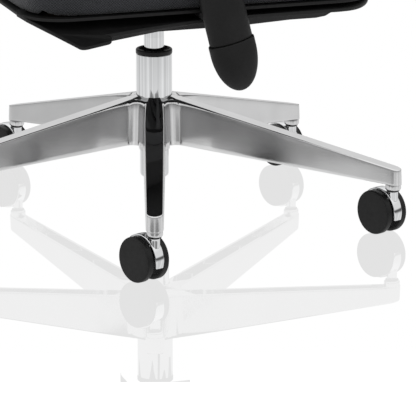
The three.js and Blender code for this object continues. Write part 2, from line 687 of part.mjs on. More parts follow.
function housing() {
  const half = HOUSING_HALF_WIDTH;
  const outer = across(polygon([
    [HOUSING_FRONT_Y + HOUSING_CHAMFER, HOUSING_FLOOR_Z],
    [HOUSING_REAR_Y - HOUSING_CHAMFER, HOUSING_FLOOR_Z],
    [HOUSING_REAR_Y, HOUSING_FLOOR_Z + HOUSING_CHAMFER],
    [HOUSING_REAR_Y, HOUSING_REAR_TOP_Z],
    [HOUSING_FRONT_Y + HOUSING_LEVEL_TOP, HOUSING_FRONT_TOP_Z],
    [HOUSING_FRONT_Y, HOUSING_FRONT_TOP_Z],
    [HOUSING_FRONT_Y, HOUSING_FLOOR_Z + HOUSING_CHAMFER],
  ]), -half, half);
  const cavity = block(
    -half + HOUSING_WALL,
    half - HOUSING_WALL,
    HOUSING_FRONT_Y + HOUSING_WALL,
    HOUSING_REAR_Y - HOUSING_WALL,
    HOUSING_FLOOR_Z + HOUSING_WALL,
    HOUSING_FRONT_TOP_Z + CUT_PAST,
  );
  const boss = post(BOSS_R, HOUSING_FLOOR_Z, BOSS_TOP_Z);
  const bore = hole(CYLINDER_R + FIT_GAP, HOUSING_FLOOR_Z - CUT_PAST, BOSS_TOP_Z + CUT_PAST, COLUMN_SIDES);
  const pinHoles = [
    pinHole(half, TILT_PIN_Y, TILT_PIN_Z),
    pinHole(half, RECLINE_PIN_Y, RECLINE_PIN_Z),
  ];
  const leverHoles = [
    leverPassage(LEVER_Y),
    leverPassage(LOCK_LEVER_Y),
  ];
  const spindleHole = hole(KNOB_SPINDLE_R + PIN_GAP, -CUT_PAST, CUT_PAST, 16)
    .rotateX(Math.PI / 2)
    .translate(0, HOUSING_FRONT_Y, SPRING_Z);
  return cut(join(cut(outer, cavity), boss), bore, ...pinHoles, ...leverHoles, spindleHole);
}

// The hole for a pivot pin, right across a piece of that half width.
function pinHole(half, y, z) {
  return crossHole(PIVOT_PIN_R + PIN_GAP, -half - CUT_PAST, half + CUT_PAST, y, z);
}

// The opening in the right-hand wall that a lever rocks in.
function leverPassage(y) {
  const wall = -HOUSING_HALF_WIDTH;
  const low = LEVER_Z - LEVER_R - 2;
  const high = LEVER_Z + LEVER_R + 5;
  return block(wall - 1, wall + HOUSING_WALL + 1, y - LEVER_R - 1, y + LEVER_R + 1, low, high);
}

// One of the seat plate's ears, with a round end about the tilt pin.
function tiltEar(side, zTop) {
  const shape = new THREE.Shape();
  shape.moveTo(TILT_PIN_Y - EAR_FOOT_FRONT, zTop);
  shape.lineTo(TILT_PIN_Y - EAR_R, TILT_PIN_Z);
  shape.absarc(TILT_PIN_Y, TILT_PIN_Z, EAR_R, Math.PI, Math.PI * 2, false);
  shape.lineTo(TILT_PIN_Y + EAR_FOOT_REAR, zTop);
  const near = HOUSING_HALF_WIDTH + EAR_GAP;
  const x0 = side > 0 ? near : -near - EAR_THICKNESS;
  return across(shape, x0, x0 + EAR_THICKNESS, 4);
}

function seatPlate() {
  const top = SHELL_TOP_Z - SHELL_FLOOR - FIT_GAP;
  const bottom = top - SEAT_PLATE_THICKNESS;
  const half = SEAT_PLATE_HALF_WIDTH;
  const front = HOUSING_FRONT_Y - SEAT_PLATE_OVERHANG;
  const rear = HOUSING_REAR_Y + SEAT_PLATE_REAR_OVERHANG;
  const plate = standing(roundedRect(-half, front, half, rear, SEAT_PLATE_CORNER), bottom, top, 3);
  const ears = [-1, 1].map((side) => tiltEar(side, bottom + 1));
  return cut(join(plate, ...ears), pinHole(half, TILT_PIN_Y, TILT_PIN_Z));
}

function tensionSpring() {
  const start = HOUSING_FRONT_Y + HOUSING_WALL + SPRING_END_GAP;
  const end = -BOSS_R - SPRING_END_GAP - 1;
  class Coil extends THREE.Curve {
    getPoint(t, target = new THREE.Vector3()) {
      const angle = t * SPRING_TURNS * Math.PI * 2;
      const y = start + (end - start) * t;
      return target.set(SPRING_R * Math.cos(angle), y, SPRING_Z + SPRING_R * Math.sin(angle));
    }
  }
  const wire = new THREE.Shape();
  wire.absarc(0, 0, SPRING_WIRE_R, 0, Math.PI * 2, false);
  return new THREE.ExtrudeGeometry(wire, {
    steps: SPRING_TURNS * 8,
    bevelEnabled: false,
    extrudePath: new Coil(),
    curveSegments: 2,
  });
}

// The hand knob in front of the housing, with the spindle that runs through the spring.
function tensionKnob() {
  const face = HOUSING_FRONT_Y - RUN_GAP;
  const spindleEnd = HOUSING_FRONT_Y + HOUSING_WALL + KNOB_SPINDLE_LENGTH;
  const profile = [
    [0, -spindleEnd],
    [KNOB_SPINDLE_R, -spindleEnd],
    [KNOB_SPINDLE_R, -face],
    [KNOB_R - KNOB_CHAMFER, -face],
    [KNOB_R, -face + KNOB_CHAMFER],
    [KNOB_R, -face + KNOB_LENGTH - KNOB_CHAMFER],
    [KNOB_R - KNOB_CHAMFER, -face + KNOB_LENGTH],
    [0, -face + KNOB_LENGTH],
  ];
  return turned(profile, 16).rotateX(Math.PI / 2).translate(0, 0, SPRING_Z);
}

// A hand lever: a bent bar out of the right-hand wall with a flat paddle at its end.
function handLever(y, innerX, endX, drop, paddleLength) {
  const reach = LEVER_PIVOT_X - endX;
  const bend = LEVER_PIVOT_X - reach * 0.36;
  const low = LEVER_PIVOT_X - reach * 0.5;
  const paddleX = endX + paddleLength;
  const z = LEVER_Z;
  const r = LEVER_R;
  const bar = along(polygon([
    [innerX, z - r],
    [innerX, z + r],
    [bend, z + r],
    [low, z + r - drop],
    [paddleX - r, z + r - drop],
    [paddleX - r, z - r - drop],
    [low - 2, z - r - drop],
    [bend - 2, z - r],
  ]), y - r, y + r);
  const half = PADDLE_WIDTH / 2;
  const paddle = standing(
    roundedRect(endX, y - half, paddleX, y + half, half - 1),
    z - drop - PADDLE_THICKNESS / 2,
    z - drop + PADDLE_THICKNESS / 2,
    6,
  );
  return join(bar, paddle);
}

function addMechanism() {
  const pinEnd = HOUSING_HALF_WIDTH + EAR_GAP + EAR_THICKNESS + PIVOT_PIN_PROUD;
  const tiltPin = crossPin(PIVOT_PIN_R, -pinEnd, pinEnd, TILT_PIN_Y, TILT_PIN_Z, 14);
  const reclinePin = crossPin(PIVOT_PIN_R, -pinEnd, pinEnd, RECLINE_PIN_Y, RECLINE_PIN_Z, 14);
  const heightLever = handLever(LEVER_Y, LEVER_INNER_X, LEVER_END_X, LEVER_DROP, PADDLE_LENGTH);
  const lockLever = handLever(
    LOCK_LEVER_Y,
    LOCK_LEVER_INNER_X,
    LOCK_LEVER_END_X,
    LOCK_LEVER_DROP,
    LOCK_PADDLE_LENGTH,
  );
  addPart(chair, 'mechanism_housing', housing(), BLACK_STEEL);
  addPart(chair, 'seat_plate', seatPlate(), BLACK_STEEL);
  addPart(chair, 'tilt_pin', tiltPin, STEEL);
  addPart(chair, 'recline_pin', reclinePin, STEEL);
  addPart(chair, 'tension_spring', tensionSpring(), STEEL);
  addPart(chair, 'tension_knob', tensionKnob(), BLACK_PLASTIC);
  addPart(chair, 'height_lever', heightLever, BLACK_PLASTIC);
  addPart(chair, 'tilt_lock_lever', lockLever, BLACK_PLASTIC);
}

// ---------------------------------------------------------------- seat

function seatOutline(inset) {
  const half = SEAT_HALF_WIDTH - inset;
  return roundedRect(-half, SEAT_FRONT_Y + inset, half, SEAT_REAR_Y - inset, SEAT_CORNER_R - inset);
}

function seatShell() {
  const half = SEAT_HALF_WIDTH;
  const low = SHELL_TOP_Z - SHELL_DEPTH - LIP_DEPTH - CUT_PAST;
  const plan = standing(seatOutline(0), low, SHELL_TOP_Z + 1, 5);
  const outer = common(plan, across(shellSide(), -half - 1, half + 1, 4));
  const under = standing(seatOutline(SHELL_WALL), low - CUT_PAST, SHELL_TOP_Z - SHELL_FLOOR, 5);
  return cut(outer, under, bracketSlot(1), bracketSlot(-1));
}

// The shell seen from the side. Each side wall hangs down near the front as a lip that ends in a
// short tongue, with a notch over it.
function shellSide() {
  const edge = SHELL_TOP_Z - SHELL_DEPTH;
  const lipLow = edge - LIP_DEPTH;
  const endZ = SHELL_TOP_Z - SHELL_END_DEPTH;
  const front = (y) => SEAT_FRONT_Y + y;
  const side = new THREE.Shape();
  side.moveTo(front(0), SHELL_TOP_Z);
  side.lineTo(front(0), endZ);
  side.quadraticCurveTo(front(46), edge - 12, front(LIP_FRONT), lipLow + 1);
  side.quadraticCurveTo(front(LIP_FRONT + 5), lipLow - 1, front(LIP_FRONT + 12), lipLow);
  side.lineTo(front(LIP_REAR), lipLow + 6);
  side.lineTo(front(LIP_REAR + 2), lipLow + 10);
  side.lineTo(front(LIP_NOTCH_START), edge - LIP_NOTCH);
  side.quadraticCurveTo(front(200), edge - 3, front(270), edge);
  side.lineTo(SEAT_REAR_Y - 46, edge);
  side.quadraticCurveTo(SEAT_REAR_Y - 6, edge, SEAT_REAR_Y, endZ);
  side.lineTo(SEAT_REAR_Y, SHELL_TOP_Z);
  return side;
}

// The notch in the shell's side wall that an armrest bracket passes through.
function bracketSlot(side) {
  const y = bracketY();
  const x = side * SEAT_HALF_WIDTH;
  const reach = SHELL_WALL + CUT_PAST;
  const half = BRACKET_HALF_WIDTH + 1;
  const top = SHELL_TOP_Z - SHELL_FLOOR;
  return block(x - reach, x + reach, y - half, y + half, top - SHELL_DEPTH - CUT_PAST, top);
}

function seatPanel() {
  const bottom = SHELL_TOP_Z + FIT_GAP;
  return standing(seatOutline(PANEL_INSET), bottom, bottom + PANEL_THICKNESS, 4);
}

function seatCushion() {
  const middleY = (SEAT_FRONT_Y + SEAT_REAR_Y) / 2;
  const halfDepth = (SEAT_REAR_Y - SEAT_FRONT_Y) / 2;
  const bottom = SHELL_TOP_Z + FIT_GAP;
  const body = pillow([8, 8, 2], (u, v, w) => {
    const [x, y] = softSquare(u, v, 0.34);
    const rim = Math.max(Math.abs(u), Math.abs(v)) === 1 ? 1 : 0;
    const draw = w === 0 ? 1 : 0.975;
    const front = Math.max(0, -v - 0.45) / 0.55;
    const drop = CUSHION_FRONT_ROLL * front * front;
    const top = CUSHION_THICKNESS - CUSHION_CROWN * rim - drop;
    const height = w < 0 ? 0 : (w > 0 ? top : top * 0.5);
    return [x * SEAT_HALF_WIDTH * draw, middleY + y * halfDepth * draw, bottom + height];
  });
  const panelRoom = standing(
    seatOutline(PANEL_INSET - RUN_GAP),
    bottom - CUT_PAST,
    bottom + PANEL_THICKNESS + FIT_GAP,
    4,
  );
  return cut(body, panelRoom);
}

function addSeat() {
  addPart(chair, 'seat_shell', seatShell(), BLACK_PLASTIC);
  addPart(chair, 'seat_panel', seatPanel(), PLYWOOD);
  addPart(chair, 'seat_cushion', seatCushion(), FABRIC);
}

// ---------------------------------------------------------------- back

// Where the back shell's front face is, at a share u across and a height z.
function backFaceY(u, z) {
  const rise = (z - BACK_BOTTOM_Z) / (BACK_TOP_Z - BACK_BOTTOM_Z);
  const lumbar = BACK_LUMBAR * Math.exp(-(((rise - 0.24) / 0.22) ** 2));
  const lean = Math.tan(rad(BACK_LEAN_DEG)) * (z - BACK_BOTTOM_Z);
  return BACK_FACE_Y + lean - lumbar - BACK_WRAP * u * u;
}

function backPanel(cells, inset, frontOffset, backOffset, crown) {
  const middleZ = (BACK_BOTTOM_Z + BACK_TOP_Z) / 2;
  const halfHeight = (BACK_TOP_Z - BACK_BOTTOM_Z) / 2 - inset;
  const halfWidth = BACK_HALF_WIDTH - inset;
  return pillow(cells, (u, w, v) => {
    const [a, b] = softSquare(u, v, 0.42);
    const narrow = 1 - 0.06 * Math.max(0, v) ** 2;
    const z = middleZ + b * halfHeight;
    const share = (a * halfWidth * narrow) / BACK_HALF_WIDTH;
    const rim = Math.max(Math.abs(u), Math.abs(v)) === 1 ? 1 : 0;
    const offset = w > 0 ? backOffset : frontOffset + crown * rim;
    return [share * BACK_HALF_WIDTH, backFaceY(share, z) + offset, z];
  });
}

// A flat bar from the recline pin, back under the seat and up behind the back shell.
function backBracket() {
  const halfWidth = HOUSING_HALF_WIDTH + EAR_GAP + EAR_THICKNESS;
  const roomHalf = HOUSING_HALF_WIDTH + EAR_GAP;
  const room = block(
    -roomHalf,
    roomHalf,
    RECLINE_PIN_Y - EAR_R - CUT_PAST,
    HOUSING_REAR_Y + 14,
    BAR_BOTTOM_Z - 60,
    BAR_BOTTOM_Z + 60,
  );
  const narrowY = SEAT_REAR_Y - 57;
  const rearY = uprightY(UPRIGHT_TOP_Z) + BAR_THICKNESS + CUT_PAST;
  const plan = standing(polygon([
    [-halfWidth, RECLINE_PIN_Y - EAR_R - CUT_PAST],
    [halfWidth, RECLINE_PIN_Y - EAR_R - CUT_PAST],
    [halfWidth, narrowY - 70],
    [BAR_HALF_WIDTH, narrowY],
    [BAR_HALF_WIDTH, rearY],
    [-BAR_HALF_WIDTH, rearY],
    [-BAR_HALF_WIDTH, narrowY],
    [-halfWidth, narrowY - 70],
  ]), 0, BACK_TOP_Z);
  const body = across(bracketSide(), -halfWidth, halfWidth, 5);
  return cut(common(body, plan), room, pinHole(halfWidth, RECLINE_PIN_Y, RECLINE_PIN_Z));
}

function bracketSide() {
  const lower = BAR_BOTTOM_Z - 3;
  const upper = BAR_BOTTOM_Z + BAR_THICKNESS;
  const clear = SEAT_REAR_Y + BAR_CLEARANCE;
  const outer = clear + BAR_THICKNESS;
  const side = new THREE.Shape();
  side.moveTo(RECLINE_PIN_Y - EAR_R, RECLINE_PIN_Z);
  side.absarc(RECLINE_PIN_Y, RECLINE_PIN_Z, EAR_R, Math.PI, Math.PI * 1.5, false);
  side.lineTo(clear - 30, lower);
  side.quadraticCurveTo(outer, lower, outer + 2, BAR_BOTTOM_Z + 44);
  side.lineTo(uprightY(BACK_BOTTOM_Z) + BAR_THICKNESS, BACK_BOTTOM_Z);
  side.lineTo(uprightY(UPRIGHT_TOP_Z) + BAR_THICKNESS, UPRIGHT_TOP_Z);
  side.lineTo(uprightY(UPRIGHT_TOP_Z), UPRIGHT_TOP_Z);
  side.lineTo(uprightY(BACK_BOTTOM_Z), BACK_BOTTOM_Z);
  side.lineTo(clear, BAR_BOTTOM_Z + 46);
  side.quadraticCurveTo(clear - 2, upper, clear - 34, upper);
  side.lineTo(RECLINE_PIN_Y + 4, RECLINE_PIN_Z + EAR_R);
  side.absarc(RECLINE_PIN_Y, RECLINE_PIN_Z, EAR_R, Math.PI * 0.42, Math.PI, false);
  return side;
}

// The upright's front face at a height: it follows the rear of the back shell, at a small distance.
function uprightY(z) {
  const foot = BACK_FACE_Y + BACK_SHELL_THICKNESS + UPRIGHT_GAP;
  return foot + Math.tan(rad(BACK_LEAN_DEG)) * (z - BACK_BOTTOM_Z);
}

function addBack() {
  const cells = [8, 1, 10];
  const shell = backPanel(cells, 0, 0, BACK_SHELL_THICKNESS, 0);
  const cushion = backPanel(
    cells,
    BACK_CUSHION_INSET,
    -BACK_CUSHION_THICKNESS,
    -FIT_GAP * 2,
    BACK_CUSHION_CROWN,
  );
  addPart(chair, 'back_bracket', backBracket(), BLACK_STEEL);
  addPart(chair, 'back_shell', shell, BLACK_PLASTIC);
  addPart(chair, 'back_cushion', cushion, FABRIC);
}

// ---------------------------------------------------------------- armrests

// The local frame of an armrest: Z runs up the leaning sleeve from its foot, +X faces out.
function ellipse(halfX, halfY) {
  const shape = new THREE.Shape();
  shape.absellipse(0, 0, halfX, halfY, 0, Math.PI * 2, false, 0);
  return shape;
}

function armBoot() {
  return pillow([4, 4, 6], (u, v, w) => {
    const [a, b] = softSquare(u, v, 1);
    const t = (w + 1) / 2;
    const z = BOOT_SEAM * t * t;
    const fall = Math.max(0, 1 - z / BOOT_ROUND_HEIGHT);
    const size = Math.sqrt(Math.max(0.02, 1 - fall * fall));
    return [a * BOOT_HALF_THICKNESS * size, b * BOOT_HALF_DEPTH * size, z];
  });
}

function armSleeve() {
  const bottom = BOOT_SEAM + FIT_GAP;
  const body = standing(ellipse(SLEEVE_HALF_THICKNESS, SLEEVE_HALF_DEPTH), bottom, SLEEVE_TOP, 10);
  const flat = block(
    -SLEEVE_FLAT - CUT_PAST,
    -SLEEVE_FLAT,
    -BOOT_HALF_DEPTH,
    BOOT_HALF_DEPTH,
    bottom - CUT_PAST,
    SLEEVE_TOP + CUT_PAST,
  );
  const x = POST_HALF_THICKNESS + RUN_GAP;
  const y = POST_HALF_DEPTH + RUN_GAP;
  const outline = roundedRect(-x, -y, x, y, POST_CORNER + RUN_GAP);
  const bore = standing(outline, POST_FOOT - SLEEVE_FLOOR, SLEEVE_TOP + CUT_PAST, 2);
  return cut(body, flat, bore);
}

function armPost() {
  const x = POST_HALF_THICKNESS;
  const y = POST_HALF_DEPTH;
  const bar = standing(roundedRect(-x, -y, x, y, POST_CORNER), POST_FOOT, POST_TOP, 2);
  const headPlan = ellipse(HEAD_HALF_THICKNESS, SLEEVE_HALF_DEPTH);
  const head = standing(headPlan, POST_TOP - HEAD_HEIGHT, POST_TOP, 8);
  const pocketRoom = BUTTON_HALF + PIN_GAP;
  const pocketZ = POST_TOP - HEAD_HEIGHT / 2;
  const floorX = buttonInnerX() - BUTTON_TRAVEL - RUN_GAP;
  const pocket = block(
    floorX,
    HEAD_HALF_THICKNESS + CUT_PAST,
    -pocketRoom,
    pocketRoom,
    pocketZ - pocketRoom,
    pocketZ + pocketRoom,
  );
  return cut(join(bar, head), pocket);
}

function buttonInnerX() {
  return HEAD_HALF_THICKNESS + BUTTON_PROUD - BUTTON_LENGTH;
}

function armButton() {
  const z = POST_TOP - HEAD_HEIGHT / 2;
  const shape = roundedRect(-BUTTON_HALF, z - BUTTON_HALF, BUTTON_HALF, z + BUTTON_HALF, BUTTON_CORNER);
  return across(shape, buttonInnerX(), buttonInnerX() + BUTTON_LENGTH, 3);
}

function armPad() {
  return pillow([4, 8, 2], (u, v, w) => {
    const [a, b] = softSquare(u, v, 0.6);
    const draw = w === 0 ? 1 : 0.93;
    const rim = Math.max(Math.abs(u), Math.abs(v)) === 1 ? 1 : 0;
    const height = ((w + 1) / 2) * (PAD_THICKNESS - 4 * rim);
    return [a * PAD_HALF_WIDTH * draw, b * PAD_HALF_LENGTH * draw, height];
  });
}

function bracketY() {
  const rise = SHELL_TOP_Z - SHELL_FLOOR - ARMREST_FOOT_Z;
  return ARMREST_FOOT_Y - rise * Math.tan(rad(ARMREST_LEAN_DEG));
}

// An angle bracket: the flat leg bolts up under the seat, the upright leg carries the sleeve.
function armBracket(side) {
  const top = SHELL_TOP_Z - SHELL_FLOOR - FIT_GAP;
  const bottom = top - BRACKET_THICKNESS;
  const outer = ARMREST_X - SLEEVE_FLAT - FIT_GAP;
  const inner = outer - BRACKET_FLANGE;
  const outline = [
    [BRACKET_INNER_X, bottom],
    [outer, bottom],
    [outer, bottom + BRACKET_HEIGHT],
    [inner, bottom + BRACKET_HEIGHT],
    [inner, top],
    [BRACKET_INNER_X, top],
  ];
  const shape = polygon(outline.map(([x, z]) => [x * side, z]));
  return along(shape, bracketY() - BRACKET_HALF_WIDTH, bracketY() + BRACKET_HALF_WIDTH);
}

// The pad stays level, so it stands outside the leaning frame of the sleeve.
function padPlace() {
  const lean = rad(ARMREST_LEAN_DEG);
  const y = ARMREST_FOOT_Y - Math.sin(lean) * POST_TOP;
  const z = ARMREST_FOOT_Z + Math.cos(lean) * POST_TOP + Math.sin(lean) * SLEEVE_HALF_DEPTH;
  return [y + PAD_TRAIL, z + FIT_GAP];
}

function mirrored(geometry, side) {
  return side > 0 ? geometry : geometry.scale(-1, 1, 1);
}

function addArmrests() {
  for (const [name, side] of [['left', 1], ['right', -1]]) {
    const frame = new THREE.Group();
    frame.position.set(ARMREST_X * side, ARMREST_FOOT_Y, ARMREST_FOOT_Z);
    frame.rotation.x = rad(ARMREST_LEAN_DEG);
    chair.add(frame);
    addPart(frame, `${name}_arm_boot`, welded(mirrored(armBoot(), side)), BLACK_PLASTIC);
    addPart(frame, `${name}_arm_sleeve`, welded(mirrored(armSleeve(), side)), BLACK_PLASTIC);
    addPart(frame, `${name}_arm_post`, welded(mirrored(armPost(), side)), BLACK_PLASTIC);
    addPart(frame, `${name}_arm_button`, welded(mirrored(armButton(), side)), BLACK_PLASTIC);
    const pad = addPart(chair, `${name}_arm_pad`, armPad(), BLACK_PLASTIC);
    const [padY, padZ] = padPlace();
    pad.position.set(ARMREST_X * side, padY, padZ);
    addPart(chair, `${name}_arm_bracket`, welded(armBracket(side)), BLACK_STEEL);
  }
}

// ---------------------------------------------------------------- assembly

addPart(chair, 'star_base', starBase(), POLISHED);
addCasters();
addGasLift();
addMechanism();
addSeat();
addBack();
addArmrests();

chair.updateMatrixWorld(true);
const bounds = new THREE.Box3().setFromObject(chair, true);
const centre = bounds.getCenter(new THREE.Vector3());
chair.position.set(-centre.x, -centre.y, -bounds.min.z);

export default chair;
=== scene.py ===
# Swivel office chair: the looks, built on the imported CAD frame.
# Pieces are drawn in millimetres in the chair's own frame (swivel axis on X = Y = 0, floor at Z = 0,
# front towards -Y, the sitter's left towards +X) and are moved to the row frame as they are made.
import math

import bmesh
import bpy
import numpy as np
from mathutils import Matrix, Vector
from mathutils.bvhtree import BVHTree
from mathutils.geometry import delaunay_2d_cdt


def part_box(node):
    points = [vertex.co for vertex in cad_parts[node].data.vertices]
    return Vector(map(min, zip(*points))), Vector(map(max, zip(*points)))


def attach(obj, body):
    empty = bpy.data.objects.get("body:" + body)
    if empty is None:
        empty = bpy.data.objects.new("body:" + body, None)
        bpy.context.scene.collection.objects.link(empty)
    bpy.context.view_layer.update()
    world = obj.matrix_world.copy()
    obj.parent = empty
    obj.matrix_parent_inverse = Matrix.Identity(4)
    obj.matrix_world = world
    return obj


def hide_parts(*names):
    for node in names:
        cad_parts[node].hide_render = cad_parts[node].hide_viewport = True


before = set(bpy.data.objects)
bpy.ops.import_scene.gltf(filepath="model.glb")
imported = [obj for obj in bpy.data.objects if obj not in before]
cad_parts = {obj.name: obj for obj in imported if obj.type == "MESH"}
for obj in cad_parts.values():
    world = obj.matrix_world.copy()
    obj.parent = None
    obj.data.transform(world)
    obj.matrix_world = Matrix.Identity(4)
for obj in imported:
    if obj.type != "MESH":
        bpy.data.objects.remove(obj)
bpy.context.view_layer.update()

MM = 0.001


def middle(node):
    """The centre of a CAD node's box, in metres."""
    low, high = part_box(node)
    return Vector([(low[i] + high[i]) / 2 for i in range(3)])


AXIS = Vector((middle("lift_column").x, middle("lift_column").y, 0.0))


def chair_box(node):
    """A CAD node's box in millimetres, in the chair's own frame."""
    low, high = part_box(node)
    return [(low[i] - AXIS[i]) / MM for i in range(3)], [(high[i] - AXIS[i]) / MM for i in range(3)]


# ---------------------------------------------------------------- materials

class Graph:
    """Node tree helper: each call adds one node, wires what it is given and returns an output."""

    def __init__(self, tree):
        self.tree = tree

    def put(self, kind, inputs=None, out=0, **settings):
        node = self.tree.nodes.new(kind)
        for key, value in settings.items():
            setattr(node, key, value)
        for key, value in (inputs or {}).items():
            if isinstance(value, bpy.types.NodeSocket):
                self.tree.links.new(value, node.inputs[key])
            else:
                node.inputs[key].default_value = value
        return node.outputs[out]

    def math(self, operation, a, b=0.0, c=0.0):
        return self.put("ShaderNodeMath", {0: a, 1: b, 2: c}, operation=operation)

    def ramp(self, value, low, high, to_low=0.0, to_high=1.0):
        return self.put("ShaderNodeMapRange", {0: value, 1: low, 2: high, 3: to_low, 4: to_high})

    def axis(self, vector, index):
        return self.put("ShaderNodeSeparateXYZ", {0: vector}, out=index)

    def noise(self, where, scale, detail=3.0, roughness=0.5):
        return self.put(
            "ShaderNodeTexNoise",
            {"Vector": where, "Scale": scale, "Detail": detail, "Roughness": roughness},
        )

    def mix(self, share, first, second):
        node = self.tree.nodes.new("ShaderNodeMix")
        node.data_type = "RGBA"
        for index, value in ((0, share), (6, first), (7, second)):
            if isinstance(value, bpy.types.NodeSocket):
                self.tree.links.new(value, node.inputs[index])
            else:
                node.inputs[index].default_value = value
        return node.outputs[2]

    def bump(self, height, distance, strength=1.0, under=None):
        inputs = {"Height": height, "Distance": distance, "Strength": strength}
        if under is not None:
            inputs["Normal"] = under
        return self.put("ShaderNodeBump", inputs)


def grey(value, tint=(1.0, 1.0, 1.0)):
    return (value * tint[0], value * tint[1], value * tint[2], 1.0)


def new_material(name, **sockets):
    """A Principled material and its graph; sockets set constant values on the shader."""
    made = bpy.data.materials.new(name)
    made.use_nodes = True
    shader = made.node_tree.nodes["Principled BSDF"]
    for key, value in sockets.items():
        shader.inputs[key.replace("_", " ")].default_value = value
    graph = Graph(made.node_tree)
    where = graph.put("ShaderNodeTexCoord", out=3)
    return made, shader, graph, where


def wire(made, shader, **outputs):
    for key, value in outputs.items():
        made.node_tree.links.new(value, shader.inputs[key.replace("_", " ")])
    return made


def metal(name, light, dark, rough_low, rough_high, wave, scratch, tint=(1.0, 1.0, 1.0), side_rough=0.0):
    """Bare metal: cloudy tone, uneven gloss, a slow wave and polishing marks; sides may be duller."""
    made, shader, graph, where = new_material(name, Metallic=1.0)
    cloud = graph.noise(where, 18.0, 3.0)
    tone = graph.mix(graph.ramp(cloud, 0.3, 0.7), grey(dark, tint), grey(light, tint))
    fine = graph.noise(where, 900.0, 4.0, 0.6)
    drawn = graph.put("ShaderNodeMapping", {"Vector": where, "Scale": (1.0, 1.0, 0.12)})
    marks = graph.noise(drawn, 1400.0, 2.0)
    smear = graph.noise(where, 45.0, 4.0)
    gloss = graph.math("ADD", graph.math("MULTIPLY", fine, 0.35), smear)
    rough = graph.ramp(gloss, 0.45, 0.95, rough_low, rough_high)
    upward = graph.math("ABSOLUTE", graph.axis(graph.put("ShaderNodeTexCoord", out=1), 2))
    rough = graph.math("ADD", rough, graph.ramp(upward, 0.4, 0.75, side_rough, 0.0))
    slow = graph.bump(graph.noise(where, 22.0, 1.0), wave * MM)
    bumped = graph.bump(marks, scratch * MM, under=slow)
    return wire(made, shader, Base_Color=tone, Roughness=rough, Normal=bumped)


def plastic(name, light, dark, rough_low, rough_high, grain_mm, depth_mm, painted_edge_highlight=0.0, tint=(1.0, 1.0, 1.02)):
    """Moulded plastic or paint: leather-like grain, uneven gloss and a painted highlight on the edges."""
    made, shader, graph, where = new_material(name, Specular_IOR_Level=0.32)
    cells = graph.put("ShaderNodeTexVoronoi", {"Vector": where, "Scale": 1.0 / (grain_mm * MM)}, feature="F1")
    soft = graph.noise(where, 1.6 / (grain_mm * MM), 3.0, 0.55)
    grain = graph.math("ADD", cells, graph.math("MULTIPLY", soft, 0.8))
    cloud = graph.noise(where, 30.0, 3.0)
    tone = graph.mix(graph.ramp(cloud, 0.3, 0.7), grey(dark, tint), grey(light, tint))
    # painted highlight: convex edges, found by pointiness, are mixed towards a lighter grey
    edge = graph.ramp(graph.put("ShaderNodeNewGeometry", out="Pointiness"), 0.53, 0.6, 0.0, painted_edge_highlight)
    tone = graph.mix(edge, tone, grey(light * 2.6, tint))
    rough = graph.ramp(graph.noise(where, 160.0, 4.0), 0.3, 0.7, rough_low, rough_high)
    return wire(made, shader, Base_Color=tone, Roughness=rough, Normal=graph.bump(grain, depth_mm * MM))


def woven(name, dark, light, pitch_mm, depth_mm):
    """Plain-weave upholstery cloth: the weave lies on whichever axis plane the surface faces."""
    made, shader, graph, where = new_material(name, Roughness=0.92, Sheen_Weight=0.25, Sheen_Roughness=0.45)
    shader.inputs["Specular IOR Level"].default_value = 0.22
    x, y, z = (graph.axis(where, i) for i in range(3))
    facing = graph.put("ShaderNodeTexCoord", out=1)
    nx, ny, nz = (graph.axis(facing, i) for i in range(3))
    turn = math.pi / (pitch_mm * MM)
    sx, sy, sz = (graph.math("SINE", graph.math("MULTIPLY", axis, turn)) for axis in (x, y, z))
    wx, wy, wz = (graph.math("POWER", graph.math("ABSOLUTE", n), 4.0) for n in (nx, ny, nz))
    total = graph.math("ADD", graph.math("ADD", wx, wy), wz)
    on_z = graph.math("MULTIPLY", graph.math("MULTIPLY", sx, sy), wz)
    on_y = graph.math("MULTIPLY", graph.math("MULTIPLY", sx, sz), wy)
    on_x = graph.math("MULTIPLY", graph.math("MULTIPLY", sy, sz), wx)
    weave = graph.math("DIVIDE", graph.math("ADD", graph.math("ADD", on_x, on_y), on_z), total)
    thread = graph.noise(where, 2600.0, 2.0)
    height = graph.math("ADD", weave, graph.math("MULTIPLY", thread, 0.7))
    cloud = graph.noise(where, 14.0, 3.0)
    heather = graph.noise(where, 520.0, 2.0, 0.7)
    share = graph.math("MULTIPLY_ADD", weave, 0.35, graph.math("MULTIPLY_ADD", cloud, 0.3, -0.15))
    share = graph.math("MULTIPLY_ADD", heather, 0.9, share)
    tone = graph.mix(share, dark, light)
    return wire(made, shader, Base_Color=tone, Normal=graph.bump(height, depth_mm * MM))


def plywood(name):
    """Birch plywood: long grain on the faces, thin glue lines through the thickness."""
    made, shader, graph, where = new_material(name, Roughness=0.6)
    long = graph.put("ShaderNodeMapping", {"Vector": where, "Scale": (1.0, 0.08, 1.0)})
    grain = graph.noise(long, 160.0, 5.0, 0.6)
    plies = graph.math("SINE", graph.math("MULTIPLY", graph.axis(where, 2), 2400.0))
    share = graph.math("MULTIPLY_ADD", plies, 0.25, graph.math("MULTIPLY", grain, 0.8))
    tone = graph.mix(share, (0.28, 0.16, 0.07, 1.0), (0.62, 0.42, 0.22, 1.0))
    return wire(made, shader, Base_Color=tone, Normal=graph.bump(grain, 0.2 * MM))


